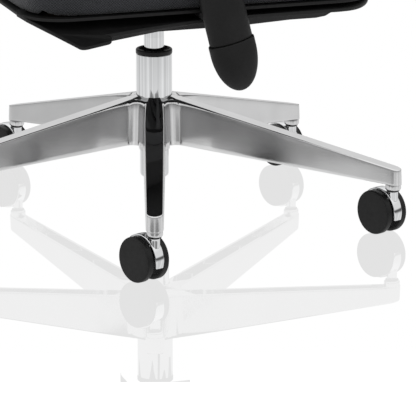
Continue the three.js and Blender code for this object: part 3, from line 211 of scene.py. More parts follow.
ALUMINIUM = metal("polished_aluminium", 0.90, 0.84, 0.02, 0.07, 0.10, 0.002, (1.0, 1.0, 1.005), 0.12)
CHROME = metal("chrome", 0.95, 0.90, 0.01, 0.04, 0.06, 0.001, (0.99, 1.0, 1.01))
STEEL = metal("steel", 0.62, 0.5, 0.22, 0.42, 0.05, 0.01)
BLACK_STEEL = plastic("black_powder_coat", 0.018, 0.010, 0.38, 0.55, 0.55, 0.05, 0.5)
GRAINED = plastic("grained_black_plastic", 0.007, 0.004, 0.42, 0.58, 0.8, 0.05, 0.25)
SMOOTH = plastic("satin_black_plastic", 0.010, 0.006, 0.30, 0.42, 0.5, 0.012, 0.2)
TYRE = plastic("wheel_plastic", 0.008, 0.005, 0.36, 0.5, 0.4, 0.015, 0.1)
ARMPAD = plastic("armpad_polyurethane", 0.020, 0.012, 0.5, 0.66, 0.9, 0.09, 0.1)
FABRIC = woven("woven_fabric", (0.010, 0.011, 0.013, 1.0), (0.060, 0.062, 0.068, 1.0), 1.9, 0.45)
THREAD = woven("seam_thread", (0.02, 0.021, 0.024, 1.0), (0.07, 0.072, 0.078, 1.0), 0.9, 0.25)
PLYWOOD = plywood("birch_plywood")


# ---------------------------------------------------------------- mesh helpers

def finish_mesh(mesh, sharp_deg):
    """Welds doubles, turns faces outward and shades smooth between edges sharper than sharp_deg."""
    work = bmesh.new()
    work.from_mesh(mesh)
    bmesh.ops.remove_doubles(work, verts=work.verts, dist=0.01 * MM)
    bmesh.ops.dissolve_degenerate(work, edges=work.edges, dist=0.005 * MM)
    bmesh.ops.recalc_face_normals(work, faces=work.faces)
    limit = math.radians(sharp_deg)
    for face in work.faces:
        face.smooth = True
    for edge in work.edges:
        edge.smooth = not (len(edge.link_faces) == 2 and edge.calc_face_angle() > limit)
    work.to_mesh(mesh)
    work.free()


def linked(name, data):
    made = bpy.data.objects.new(name, data)
    bpy.context.scene.collection.objects.link(made)
    return made


def add_piece(name, parts, finish, body, stands_for=(), sharp_deg=35.0):
    """One object from (points, faces) parts in the chair's millimetres, riding on a CAD body."""
    points, faces = [], []
    for part_points, part_faces in parts:
        start = len(points)
        points += [(p[0] * MM + AXIS.x, p[1] * MM + AXIS.y, p[2] * MM) for p in part_points]
        faces += [[start + i for i in face] for face in part_faces]
    mesh = bpy.data.meshes.new(name)
    mesh.from_pydata(points, [], faces)
    finish_mesh(mesh, sharp_deg)
    return dress(linked(name, mesh), finish, body, stands_for)


def dress(made, finish, body, stands_for=()):
    made.data.materials.clear()
    made.data.materials.append(finish)
    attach(made, body)
    if stands_for:
        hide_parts(*stands_for)
    return made


def skin(rings, closed=True, capped=False):
    """Faces between rings of equal length; closed rings join their last point to their first."""
    count = len(rings[0])
    points = [tuple(p) for ring in rings for p in ring]
    faces = []
    for row in range(len(rings) - 1):
        for i in range(count if closed else count - 1):
            j = (i + 1) % count
            a, b = row * count, (row + 1) * count
            faces.append([a + i, a + j, b + j, b + i])
    if capped:
        last = (len(rings) - 1) * count
        faces += [list(range(count))[::-1], [last + i for i in range(count)]]
    return points, faces


def softened(path, steps=4):
    """A polyline whose corners are rounded: points are (a, b) or (a, b, radius)."""
    out = []
    for i, point in enumerate(path):
        radius = point[2] if len(point) > 2 else 0.0
        here = np.array(point[:2], float)
        if radius <= 0 or i in (0, len(path) - 1):
            out.append(tuple(here))
            continue
        before = np.array(path[i - 1][:2], float) - here
        after = np.array(path[i + 1][:2], float) - here
        reach_a = min(radius, 0.48 * np.linalg.norm(before))
        reach_b = min(radius, 0.48 * np.linalg.norm(after))
        start = here + before / np.linalg.norm(before) * reach_a
        end = here + after / np.linalg.norm(after) * reach_b
        for k in range(steps + 1):
            t = k / steps
            out.append(tuple((1 - t) ** 2 * start + 2 * t * (1 - t) * here + t * t * end))
    return out


def lathe(path, sides=96, ripple=None):
    """A turned form about Z from a path of (radius, height[, corner radius])."""
    rings = []
    for radius, height in softened(path):
        ring = []
        for i in range(sides):
            angle = 2 * math.pi * i / sides
            r = radius * (ripple(angle, height) if ripple else 1.0)
            ring.append((r * math.cos(angle), r * math.sin(angle), height))
        rings.append(ring)
    return skin(rings)


def moved(part, matrix):
    points, faces = part
    return [tuple(matrix @ Vector(p)) for p in points], faces


def oval(half_x, half_y, power, sides, z=0.0):
    """A superellipse ring; power 2 is an ellipse and higher powers are squarer."""
    ring = []
    for i in range(sides):
        angle = 2 * math.pi * i / sides
        c, s = math.cos(angle), math.sin(angle)
        ring.append((
            half_x * math.copysign(abs(c) ** (2 / power), c),
            half_y * math.copysign(abs(s) ** (2 / power), s),
            z,
        ))
    return ring


def tube(path, radius, sides=10, closed=False):
    """A round cord of even thickness along points in 3-D."""
    points = [Vector(p) for p in path]
    count = len(points)
    rings = []
    for i, here in enumerate(points):
        before = points[(i - 1) % count] if closed or i else here
        after = points[(i + 1) % count] if closed or i < count - 1 else here
        along = (after - before).normalized()
        side = along.cross(Vector((0, 0, 1)))
        side = side.normalized() if side.length > 1e-4 else Vector((1, 0, 0))
        up = side.cross(along)
        rings.append([
            tuple(here + radius * (math.cos(a) * side + math.sin(a) * up))
            for a in (2 * math.pi * k / sides for k in range(sides))
        ])
    if closed:
        rings.append(rings[0])
    return skin(rings, capped=not closed)


def bevel(piece, width_mm, segments=2, angle_deg=30.0):
    made = piece.modifiers.new("bevel", "BEVEL")
    made.width = width_mm * MM
    made.segments = segments
    made.limit_method = "ANGLE"
    made.angle_limit = math.radians(angle_deg)
    made.harden_normals = False


def smooth_by_angle():
    """A geometry-nodes group that shades a mesh smooth, apart from its sharper edges."""
    group = bpy.data.node_groups.new("smooth_by_angle", "GeometryNodeTree")
    group.interface.new_socket("Geometry", in_out="INPUT", socket_type="NodeSocketGeometry")
    group.interface.new_socket("Geometry", in_out="OUTPUT", socket_type="NodeSocketGeometry")
    graph = Graph(group)
    start = graph.put("NodeGroupInput")
    angle = graph.put("GeometryNodeInputMeshEdgeAngle")
    flat = graph.put("FunctionNodeCompare", {0: angle, 1: math.radians(32.0)}, operation="LESS_EQUAL")
    faces = graph.put("GeometryNodeSetShadeSmooth", {"Geometry": start, "Shade Smooth": True}, domain="FACE")
    edges = graph.put("GeometryNodeSetShadeSmooth", {"Geometry": faces, "Shade Smooth": flat}, domain="EDGE")
    end = group.nodes.new("NodeGroupOutput")
    group.links.new(edges, end.inputs[0])
    return group


SMOOTH_GROUP = smooth_by_angle()


def keep_node(node, finish, bevel_mm=0.0):
    """A CAD node whose shape is right: it gets its finish, softened edges and smooth shading."""
    piece = frame_node(node)
    piece.data.materials.clear()
    piece.data.materials.append(finish)
    if bevel_mm:
        bevel(piece, bevel_mm)
    piece.modifiers.new("smooth", "NODES").node_group = SMOOTH_GROUP


def frame_node(node):
    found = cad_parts[node]
    return found if isinstance(found, bpy.types.Object) else bpy.data.objects[found]


# ---------------------------------------------------------------- star base

HUB_HOLE_R = 25.3
VALLEY_R = 20.0  # plan fillet between neighbouring arms
ARM_END_R = 358.0
STEM_CIRCLE_R = 347.0
ROOT_R = 47.0  # where an arm's side leaves the hub
HOLLOW_FROM_R = 46.0  # the underside is open from here
SOCKET_ROOM = 14.0  # and closes this far before the stem's axis
HUB_TOP_Z = 174.2
TOP_FROM_R = 36.0
TOP_SLOPE = 80.0 / 322.0
BELLY_Z = 110.0
BELLY_FROM_R = 40.0
BELLY_SLOPE = 35.0 / 296.0
WALL = 4.0
RIB_THICK, RIB_LEAN = 2.8, 14
ROOT_EDGE_R, TOP_EDGE_R = 8.1, 1.6  # the top edge is rounder near the hub
SIDE_DRAFT = math.tan(math.radians(2.0))


def arm_top(x, y=0.0):
    """The top's height x along an arm and y across; between the arms the hub's top is flat."""
    fall = x - TOP_FROM_R
    ridge = min(1.0, max(0.0, (13.0 - abs(y)) / 6.0))
    return HUB_TOP_Z - TOP_SLOPE * (fall if fall > 0 else fall * ridge * ridge * (3 - 2 * ridge))


def arm_belly(r):
    return BELLY_Z - max(0.0, r - BELLY_FROM_R) * BELLY_SLOPE


def arm_half_width(r):
    return (29.0 - 7.0 * r / ARM_END_R) / 2


def arm_stations():
    """Pairs of an outline point and a point inside, from the valley between two arms to the arm's end."""
    half_sector = math.radians(36.0)
    root_half = arm_half_width(ROOT_R)
    distance = (root_half + VALLEY_R) / math.sin(half_sector)
    centre = np.array([distance * math.cos(half_sector), distance * math.sin(half_sector)])
    rows = []
    valley_steps = 12
    for k in range(valley_steps + 1):
        t = k / valley_steps
        angle = math.pi + half_sector + t * (math.pi / 2 - half_sector)
        edge = centre + VALLEY_R * np.array([math.cos(angle), math.sin(angle)])
        inner = half_sector * (1 - t)
        rows.append((edge, HUB_HOLE_R * np.array([math.cos(inner), math.sin(inner)])))
    start = rows[-1][0][0]
    blend_end = 92.0
    for r in np.concatenate([np.linspace(start + 4, blend_end, 9), np.linspace(100, STEM_CIRCLE_R, 26)]):
        share = min(1.0, (r - start) / (blend_end - start))
        inner = np.array([HUB_HOLE_R + (r - HUB_HOLE_R) * share, 0.0])
        rows.append((np.array([r, arm_half_width(r)]), inner))
    tip_half = arm_half_width(STEM_CIRCLE_R)
    for k in range(1, 11):
        angle = math.pi / 2 * (1 - k / 10)
        edge = np.array([STEM_CIRCLE_R + tip_half * math.cos(angle), tip_half * math.sin(angle)])
        rows.append((edge, np.array([STEM_CIRCLE_R, 0.0])))
    return rows


def arm_profile(edge, inner):
    """The cross-section from the centre over the top, down the side and back underneath."""
    reach = np.linalg.norm(edge - inner)
    way = (edge - inner) / reach
    outer_r = float(np.linalg.norm(edge))
    hollow = HOLLOW_FROM_R < edge[0] < STEM_CIRCLE_R - SOCKET_ROOM and inner[0] > HOLLOW_FROM_R - 2
    near = min(1.0, max(0.0, (100.0 - outer_r) / 58.0)) ** 1.3
    round_r = min(TOP_EDGE_R + (ROOT_EDGE_R - TOP_EDGE_R) * near, reach * 0.4)
    foot_r = 1.2 if edge[0] < STEM_CIRCLE_R - 6 else 0.3

    def at(distance, z=None, offset=0.0):
        spot = inner + way * distance
        height = arm_top(*spot) if z is None else z
        return (spot[0], spot[1], height + offset)

    top, low = arm_top(*edge), arm_belly(outer_r)

    def draft(z):
        return (top - z) * SIDE_DRAFT

    points = [at((reach - round_r) * s) for s in (0.0, 0.35, 0.65, 0.85, 1.0)]
    for k in range(1, 7):
        angle = math.pi / 2 * k / 6
        points.append(at(reach - round_r + round_r * math.sin(angle), None, round_r * (math.cos(angle) - 1)))
    for share in (0.15, 0.4, 0.65, 0.9, 1.0):
        z = (top - round_r) + (low + foot_r - top + round_r) * share
        points.append(at(reach + draft(z), z))
    sole = reach + draft(low)
    for k in range(1, 4):
        angle = math.pi / 2 * k / 3
        points.append(at(sole - foot_r + foot_r * math.cos(angle), low + foot_r * (1 - math.sin(angle))))
    ceiling = top - WALL if hollow else low
    shoulder = max(0.0, sole - WALL)
    points.append(at(shoulder + 0.6 if hollow else shoulder, low))
    points.append(at(shoulder, low + 0.6 if hollow else low))
    points.append(at(max(0.0, shoulder - 1.0), ceiling - 1.5 if hollow else low))
    points.append(at(max(0.0, shoulder - 2.5), ceiling))
    points.append(at(0.0, ceiling))
    return points


def star_base():
    stations = arm_stations()
    rings = [arm_profile(edge, inner) for edge, inner in stations]
    half, faces = skin(rings, closed=False)
    count = len(rings[0])
    bore_rows = sum(1 for _, inner in stations if abs(np.linalg.norm(inner) - HUB_HOLE_R) < 0.01)
    for row in range(bore_rows - 1):
        a, b = row * count, (row + 1) * count
        faces.append([a, b, b + count - 1, a + count - 1])
    parts = []
    ribs = arm_ribs()
    socket = lathe([
        (5.9, 64.9), (9.6, 64.9, 0.8), (11.0, 66.6, 1.2), (11.05, 74.4), (10.4, 76.5), (5.9, 76.5),
        (5.9, 64.9),
    ], 48)
    for i in range(5):
        turn = Matrix.Rotation(math.radians(-90 + 72 * i), 4, "Z")
        flip = turn @ Matrix.Scale(-1, 4, (0, 1, 0))
        parts += [moved((half, faces), turn), moved((half, faces), flip)]
        parts += [moved(rib, turn) for rib in ribs]
        parts.append(moved(socket, turn @ Matrix.Translation((STEM_CIRCLE_R, 0, 0))))
    parts.append(lathe([
        (22.6, 112.0), (33.0, 111.0), (28.5, 109.0, 4.0), (22.6, 106.5, 4.0), (21.6, 99.0),
        (20.6, 98.2), (20.4, 100.0), (21.0, 106.0), (22.6, 112.0),
    ]))
    add_piece("star_base_casting", parts, ALUMINIUM, "base", ["star_base"], 32.0)


def arm_ribs():
    """Thin cross ribs inside the arm's open underside."""
    ribs = []
    for r, way in ((90, 1), (150, -1), (210, 1), (270, -1)):
        half = arm_half_width(r) - WALL + 0.6
        low = arm_belly(r) + 7
        near, far = r - RIB_LEAN * way, r + RIB_LEAN * way
        corners = [(near, -half), (near + RIB_THICK, -half), (far + RIB_THICK, half), (far, half)]
        foot = [(x, y, low) for x, y in corners]
        head = [(x, y, arm_top(x) - WALL + 0.5) for x, y in corners]
        ribs.append(skin([foot, head], capped=True))
    return ribs


star_base()


# ---------------------------------------------------------------- gas lift

def gas_lift():
    low, high = chair_box("lift_column")
    top = high[2]
    add_piece("lift_column_tube", [lathe([
        (6.0, low[2]), (17.0, low[2], 2.0), (20.0, low[2] + 3.0, 2.5), (20.0, 103.0, 2.0),
        (22.2, 109.0, 1.0), (25.0, 176.0, 0.5), (25.0, top - 0.6, 0.5), (24.4, top, 0.2), (23.0, top),
        (23.0, 178.0), (18.0, 103.0), (18.0, low[2] + 3.0), (6.0, low[2] + 3.0), (6.0, low[2]),
    ], 128)], CHROME, "base", ["lift_column"])
    low, high = chair_box("lift_guide_bush")
    rim = high[2]
    add_piece("lift_guide_collar", [lathe([
        (14.5, low[2]), (17.0, low[2], 0.5), (22.4, top - 55, 0.5), (22.4, top + 0.3), (25.3, top + 0.3, 0.3),
        (25.6, top + 0.9, 0.4), (25.6, rim - 1.4, 0.9), (24.6, rim, 0.8), (22.8, rim, 0.8),
        (21.4, rim - 2.2, 0.8),
        (17.0, rim - 3.4, 0.6), (16.4, rim - 4.0), (14.5, rim - 4.0), (14.5, low[2]),
    ], 96)], SMOOTH, "base", ["lift_guide_bush"])
    low, high = chair_box("gas_spring_cylinder")
    add_piece("gas_spring_piston", [lathe([
        (5.3, low[2]), (14.0, low[2], 0.8), (14.0, high[2] - 40, 0.3), (13.8, high[2] - 30, 0.3),
        (13.5, high[2], 0.8), (3.1, high[2], 0.3), (3.1, high[2] - 8), (12.0, high[2] - 8),
        (12.0, low[2] + 8),
        (5.3, low[2] + 8), (5.3, low[2]),
    ], 96)], CHROME, "carriage", ["gas_spring_cylinder"])
    for node in ("lift_thrust_bearing", "lift_rod_clip", "lift_release_pin", "tilt_pin", "recline_pin",
                 "tension_spring"):
        keep_node(node, STEEL)
    keep_node("lift_rod", CHROME)


gas_lift()


# ---------------------------------------------------------------- casters

WHEEL_R = 31.0
WHEEL_INNER = 8.0
TRAIL = 22.0
TRAIL_TURN = math.radians(202.5)


def wheel_part(side):
    profile = [
        (3.3, 7.0), (3.3, 0.6), (7.0, 0.6, 0.4), (7.6, 2.2, 0.5), (25.0, 2.2, 0.8), (26.0, 0.3, 0.6),
        (29.6, 0.0, 0.9), (31.0, 1.3, 0.9), (31.0, 8.6, 0.9), (30.3, 9.9, 0.7), (28.9, 10.45, 0.5),
        (28.0, 10.2, 0.25), (27.6, 10.42, 0.3), (12.0, 10.5), (0.0, 10.5),
    ]
    part = lathe(profile, 96)
    turn = Matrix.Rotation(math.radians(-90 if side > 0 else 90), 4, "X")
    place = Matrix.Translation((TRAIL, 0, WHEEL_R)) @ turn @ Matrix.Translation((0, 0, WHEEL_INNER))
    return moved(part, place)


def band(r_in, r_out, half, start_deg, end_deg, steps, narrow_end=0.0):
    """A rounded strip bent round the wheel's axle, in the caster's X-Z plane."""
    rings = []
    for k in range(steps + 1):
        t = k / steps
        angle = math.radians(start_deg + (end_deg - start_deg) * t)
        wide = half - narrow_end * max(0.0, 1 - t * 9)
        ring = []
        for radius, y in softened([
            (r_in, 0), (r_in, -wide, 0.6), (r_out, -wide, 1.6), (r_out + 0.25, 0), (r_out, wide, 1.6),
            (r_in, wide, 0.6), (r_in, 0),
        ], 3)[:-1]:
            ring.append((TRAIL + radius * math.cos(angle), y, WHEEL_R + radius * math.sin(angle)))
        rings.append(ring)
    return skin(rings, capped=True)


def hood_parts():
    low_deg = 180 + math.degrees(math.asin((WHEEL_R - 23.0) / 33.5))
    parts = [band(30.6, 33.4, 7.4, low_deg, 22.0, 48, 1.2)]
    outline = [(TRAIL + 31.5 * math.cos(a), WHEEL_R + 31.5 * math.sin(a))
               for a in np.radians(np.linspace(low_deg - 6, 24, 40))]
    outline += [(TRAIL + 10.5 * math.cos(a), WHEEL_R + 10.5 * math.sin(a))
                for a in np.radians(np.linspace(0, -135, 12))]
    web = [[(x, y, z) for x, z in outline] for y in (-2.2, 2.2)]
    parts.append(skin(web, capped=True))
    axle = Matrix.Translation((TRAIL, 0, WHEEL_R)) @ Matrix.Rotation(math.radians(90), 4, "X")
    boss = lathe([
        (3.3, -7.2), (9.0, -7.2, 0.8), (9.6, -2.0), (9.6, 2.0), (9.0, 7.2, 0.8), (3.3, 7.2), (3.3, -7.2),
    ], 48)
    parts.append(moved(boss, axle))
    parts.append(lathe([
        (0.0, 50.0), (7.2, 50.0), (7.0, 57.0, 1.5), (6.9, 60.5, 0.6), (7.3, 62.6, 0.5), (5.9, 62.9),
        (5.8, 50.5), (0.0, 50.5),
    ], 48))
    return parts


def casters():
    wheels = {1: wheel_part(1), -1: wheel_part(-1)}
    hood = hood_parts()
    ring = [lathe([
        (0.0, 46.5), (5.4, 46.5, 0.5), (5.4, 63.2), (8.6, 63.1, 0.5), (9.1, 63.9, 0.4), (8.8, 64.7, 0.3),
        (5.4, 64.7), (5.4, 87.0, 0.6), (0.0, 87.0),
    ], 40)]
    for i in range(1, 6):
        at = middle(f"caster_{i}_stem") - AXIS
        place = Matrix.Translation((at.x / MM, at.y / MM, 0)) @ Matrix.Rotation(TRAIL_TURN, 4, "Z")
        body = f"caster_{i}"
        add_piece(f"{body}_chrome_hood", [moved(p, place) for p in hood], CHROME, body,
                  [f"{body}_hood"], 40.0)
        add_piece(f"{body}_stem_ring", [moved(p, place) for p in ring], SMOOTH, body,
                  [f"{body}_stem"])
        for side, letter in ((1, "a"), (-1, "b")):
            add_piece(f"{body}_tyre_{letter}", [moved(wheels[side], place)], TYRE, f"{body}_wheels",
                      [f"{body}_wheel_{letter}"])
        keep_node(f"{body}_axle", STEEL)


casters()


# ---------------------------------------------------------------- tilt mechanism

def hand_lever(node, name, inner_x, pivot_x, reach, drop, paddle):
    """A rounded bar that steps down and flattens into a finger paddle."""
    low, high = chair_box(node)
    y = (low[1] + high[1]) / 2
    z = high[2] - 4.0
    outer = low[0]
    bend, foot = pivot_x - reach * 0.36, pivot_x - reach * 0.5
    path = [(inner_x, z), (bend + 6, z), (bend - 2, z - drop * 0.12), (foot + 2, z - drop * 0.88)]
    path += [(x, z - drop) for x in (
        foot - 6, outer + paddle + 12, outer + paddle - 2, outer + paddle * 0.6, outer + 12, outer + 4,
        outer + 0.2,
    )]
    sizes = [(4.0, 4.0)] * 6 + [(8.0, 4.4), (12.6, 4.4), (12.8, 4.3), (9.5, 3.4), (1.0, 0.8)]
    rings = []
    for (x, height), (half_y, half_z) in zip(path, sizes):
        rings.append([(x, y + a, height + b) for a, b, _ in oval(half_y, half_z, 2.6, 28)])
    made = add_piece(name, [skin(rings, capped=True)], SMOOTH, node, [node], 50.0)
    made.modifiers.new("round", "SUBSURF").render_levels = 2


def knob():
    low, high = chair_box("tension_knob")
    z = (low[2] + high[2]) / 2
    front = low[1]

    def ribs(angle, height):
        return 1.0 + (0.035 * max(0.0, math.cos(14 * angle)) ** 0.6 if 5 < height < 26 else 0.0)

    part = lathe([
        (0.0, 77.0), (4.9, 77.0), (4.9, 30.2), (14.0, 30.0, 1.0), (16.6, 28.5, 1.5), (18.3, 25.0, 1.0),
        (18.3, 16.0), (18.3, 7.0, 2.0), (17.2, 2.2, 1.6), (14.5, 0.4, 1.0), (11.0, 0.0, 0.4),
        (10.4, 0.9, 0.4), (0.0, 0.9),
    ], 168, ribs)
    turn = Matrix.Translation((0, front, z)) @ Matrix.Rotation(math.radians(-90), 4, "X")
    add_piece("tension_hand_knob", [moved(part, turn)], SMOOTH, "tension_knob",
              ["tension_knob"])


def mechanism():
    for node, rounding in (("mechanism_housing", 1.6), ("seat_plate", 0.8), ("back_bracket", 2.0),
                           ("left_arm_bracket", 1.2), ("right_arm_bracket", 1.2)):
        keep_node(node, BLACK_STEEL, rounding)
    hand_lever("height_lever", "height_lever_handle", 6.0, -40.0, 205.0, 18.0, 58.0)
    hand_lever("tilt_lock_lever", "tilt_lock_handle", -22.0, -40.0, 127.0, 8.0, 46.0)
    knob()


mechanism()


# ---------------------------------------------------------------- seat

SEAT_HALF = 243.0
SEAT_FRONT, SEAT_REAR = -250.0, 245.0
SHELL_TOP = 346.0
SHELL_CORNER = 62.0
SHELL_EDGE = SHELL_TOP - 16.0


def plan_outline(inset, per_corner=14):
    """The seat's rounded plan as points, anticlockwise from the front edge's +X end."""
    r = SHELL_CORNER - inset
    across = SEAT_HALF - inset - r
    front, rear = SEAT_FRONT + inset + r, SEAT_REAR - inset - r
    points = []
    for cx, cy, start in ((across, front, -90), (across, rear, 0), (-across, rear, 90),
                          (-across, front, 180)):
        for k in range(per_corner + 1):
            a = math.radians(start + 90 * k / per_corner)
            points.append((cx + r * math.cos(a), cy + r * math.sin(a)))
    return points


def plan_rings(levels):
    """The plan's outline at each (inset, height)."""
    return [[(x, y, z) for x, y in plan_outline(inset)] for inset, z in levels]


def bezier(a, b, c, count):
    a, b, c = np.array(a), np.array(b), np.array(c)
    return [tuple((1 - t) ** 2 * a + 2 * t * (1 - t) * b + t * t * c) for t in np.linspace(0, 1, count)]


def lip_polygon():
    """The shell's side wall, unrolled: (y, z) round the lower edge from the front to the rear."""
    low = SHELL_EDGE - 27.0
    top_notch = SHELL_EDGE - 13.0
    front = SEAT_FRONT
    path = bezier((front, SHELL_TOP - 5), (front + 46, SHELL_EDGE - 12), (front + 68, low + 1), 16)
    path += bezier((front + 68, low + 1), (front + 73, low - 1), (front + 80, low), 5)[1:]
    tongue = [(front + 82, low), (front + 111, low + 5.2, 3.0), (front + 113.5, low + 9.6, 3.0)]
    path += softened(tongue + [(front + 103, top_notch)], 4)[1:]
    path += bezier((front + 101, top_notch), (front + 200, SHELL_EDGE - 3), (20, SHELL_EDGE), 22)[1:]
    path += [(y, SHELL_EDGE) for y in np.linspace(40, SEAT_REAR - 46, 12)]
    rear = SEAT_REAR
    path += bezier((rear - 46, SHELL_EDGE), (rear - 6, SHELL_EDGE), (rear, SHELL_TOP - 5), 14)[1:]
    return path


def side_at(y):
    """Where the shell's side wall stands at depth y: the X of the rounded plan."""
    r = SHELL_CORNER
    past = max(0.0, SEAT_FRONT + r - y, y - (SEAT_REAR - r))
    share = min(1.0, past / r)
    return SEAT_HALF - r + r * math.sqrt(1 - share * share)


def seat_pan():
    """The moulded shell under the cushion: wall with the hanging side lips, floor and shallow ribs."""
    ring = [(SEAT_FRONT, SHELL_TOP)] + lip_polygon() + [(SEAT_REAR, SHELL_TOP)]
    depths = np.arange(SEAT_FRONT + 5, SEAT_REAR - 4, 6.0)
    grid = [(y, z) for y in depths for z in np.arange(SHELL_TOP - 5, SHELL_TOP - 44, -6.0)]
    points = [Vector(p) for p in ring] + [Vector(p) for p in grid]
    edges = [(i, (i + 1) % len(ring)) for i in range(len(ring))]
    flat, _, faces, *_ = delaunay_2d_cdt(points, edges, [], 3, 1e-4)
    parts = []
    for side in (1, -1):
        cloud = [(side * side_at(y), y, z) for y, z in flat]
        parts.append((cloud, [list(f) for f in faces]))
    made = add_piece("seat_pan", parts, GRAINED, "seat", ["seat_shell"], 50.0)
    solid = made.modifiers.new("wall", "SOLIDIFY")
    solid.thickness = 5.0 * MM
    solid.offset = -1.0
    solid.use_even_offset = True
    bevel(made, 1.5, 3, 50.0)
    made.modifiers.new("smooth", "NODES").node_group = SMOOTH_GROUP
    under, deep = SHELL_TOP - 4.0, SHELL_CORNER - 1.0
    parts = [skin(plan_rings([
        (deep, SHELL_TOP), (1.0, SHELL_TOP), (0.4, SHELL_TOP - 2.0), (1.0, under), (deep, under),
    ]), capped=True)]
    for x in (-190, -150, 150, 190):
        section = [(x - 1.2, under), (x + 1.2, under), (x + 1.0, under - 7.0), (x - 1.0, under - 7.0)]
        parts.append(skin([[(a, y, z) for a, z in section] for y in (-200, 200)], capped=True))
    add_piece("seat_pan_floor", parts, GRAINED, "seat", (), 40.0)
    low, high = chair_box("seat_panel")
    board = plan_rings([(35.0, low[2]), (34.0, low[2] + 1.0), (34.0, high[2] - 1.0), (35.0, high[2])])
    add_piece("seat_panel_board", [skin(board, capped=True)], PLYWOOD, "seat",
              ["seat_panel"], 50.0)


seat_pan()


PUFF_FRAMES = 20


def solid_from(place, cells_u, cells_v, cells_w):
    """A closed form: a gridded box whose points 'place' moves; u, v, w run from -1 to 1."""
    work = bmesh.new()
    made = {}

    def vertex(key):
        if key not in made:
            u, v, w = (2 * key[0] / cells_u - 1, 2 * key[1] / cells_v - 1, 2 * key[2] / cells_w - 1)
            x, y, z = place(u, v, w)
            made[key] = work.verts.new((x * MM + AXIS.x, y * MM + AXIS.y, z * MM))
        return made[key]

    spans = ((cells_u, cells_v, 0, 1, 2), (cells_u, cells_w, 0, 2, 1), (cells_v, cells_w, 1, 2, 0))
    limits = (cells_u, cells_v, cells_w)
    for count_a, count_b, axis_a, axis_b, fixed in spans:
        for end in (0, limits[fixed]):
            for a in range(count_a):
                for b in range(count_b):
                    corners = []
                    for da, db in ((0, 0), (1, 0), (1, 1), (0, 1)):
                        key = [0, 0, 0]
                        key[axis_a], key[axis_b], key[fixed] = a + da, b + db, end
                        corners.append(vertex(tuple(key)))
                    work.faces.new(corners)
    bmesh.ops.recalc_face_normals(work, faces=work.faces)
    return work


def evaluated(piece):
    return piece.evaluated_get(bpy.context.evaluated_depsgraph_get())


def remeshed(name, work, voxel_mm):
    """A new object with the form's voxel remesh as its mesh."""
    mesh = bpy.data.meshes.new(name)
    work.to_mesh(mesh)
    work.free()
    made = linked(name, mesh)
    remesh = made.modifiers.new("voxels", "REMESH")
    remesh.mode = "VOXEL"
    remesh.voxel_size = voxel_mm * MM
    bpy.context.view_layer.update()
    baked = bpy.data.meshes.new_from_object(evaluated(made))
    made.modifiers.clear()
    made.data = baked
    return made


def coordinates(mesh):
    flat = np.empty(len(mesh.vertices) * 3, np.float64)
    mesh.vertices.foreach_get("co", flat)
    return flat.reshape(-1, 3)


def put_coordinates(piece, cloud):
    piece.data.vertices.foreach_set("co", cloud.ravel())
    piece.data.update()


def inflate(piece, pressure, cap_mm, held):
    """Swells a padded piece with cloth pressure; 'held' vertices stay, and none moves past the cap."""
    before = coordinates(piece.data)
    pins = piece.vertex_groups.new(name="held")
    pins.add([int(i) for i in np.nonzero(held)[0]], 1.0, "REPLACE")
    cloth = piece.modifiers.new("puff", "CLOTH")
    settings = cloth.settings
    settings.vertex_group_mass = "held"
    settings.use_pressure = True
    settings.uniform_pressure_force = pressure
    settings.quality = 4
    settings.effector_weights.gravity = 0.0
    settings.tension_stiffness = 12.0
    settings.compression_stiffness = 12.0
    cloth.collision_settings.use_collision = False
    scene = bpy.context.scene
    scene.frame_start, scene.frame_end = 1, PUFF_FRAMES
    for number in range(1, PUFF_FRAMES + 1):
        scene.frame_set(number)
    after = coordinates(evaluated(piece).data)
    piece.modifiers.remove(cloth)
    scene.frame_set(1)
    step = after - before
    length = np.linalg.norm(step, axis=1, keepdims=True)
    limit = np.minimum(1.0, cap_mm * MM / np.maximum(length, 1e-9))
    put_coordinates(piece, before + step * limit)


def soften(piece, factor, repeat):
    smooth = piece.modifiers.new("settle", "SMOOTH")
    smooth.factor = factor
    smooth.iterations = repeat
    baked = bpy.data.meshes.new_from_object(evaluated(piece))
    piece.modifiers.remove(smooth)
    piece.data = baked


def shade_smooth(piece):
    piece.data.polygons.foreach_set("use_smooth", [True] * len(piece.data.polygons))
    piece.modifiers.new("fine", "SUBSURF").levels = 1
    piece.modifiers["fine"].render_levels = 1


def cushion_height(v):
    """How far the front of the seat cushion rolls down, by its share v of the depth."""
    front = max(0.0, -v - 0.45) / 0.55
    return 22.0 * front * front


SEAT_MID = (SEAT_FRONT + SEAT_REAR) / 2
SEAT_DEEP = (SEAT_REAR - SEAT_FRONT) / 2
CUSHION_FOOT = SHELL_TOP + 0.3
CUSHION_TALL = 74.0
SEAT_SEAM = 0.72  # where the side panels' seams run, as a share of the half width
FRONT_SEAM = 0.62  # and the front roll's, as a share of the half depth
UPPER_FROM = 36.0  # above this a point of the cushion is on its top
PIPING_HEIGHT = 30.0
PANEL_ROOM = 12.6  # hollow over the plywood panel
STITCH_ROWS = (-5.0, 5.0)  # beside each seam


def square_to_round(u, v, power):
    """Maps a square onto a rounded square of the same reach."""
    size = max(abs(u), abs(v))
    if size < 1e-6:
        return u, v
    norm = (abs(u / size) ** power + abs(v / size) ** power) ** (1 / power)
    blend = size ** 3
    scale = 1 + (1 / norm - 1) * blend
    return u * scale, v * scale


def towards_rim(a, b, power):
    """0 in the middle of a panel and 1 at its rounded rim, without a mitre at the corners."""
    return min(1.0, abs(a) ** power + abs(b) ** power)


def seat_form(u, v, w):
    x, y = square_to_round(u, v, 8.0)
    drop = cushion_height(y)
    rim = towards_rim(x, y, 8.0)
    top = CUSHION_TALL - 9 - 9 * rim - drop
    t = (w + 1) / 2
    draw = 0.968 + 0.02 * math.sin(math.pi * t)
    return x * SEAT_HALF * draw, SEAT_MID + y * SEAT_DEEP * draw, CUSHION_FOOT + top * t


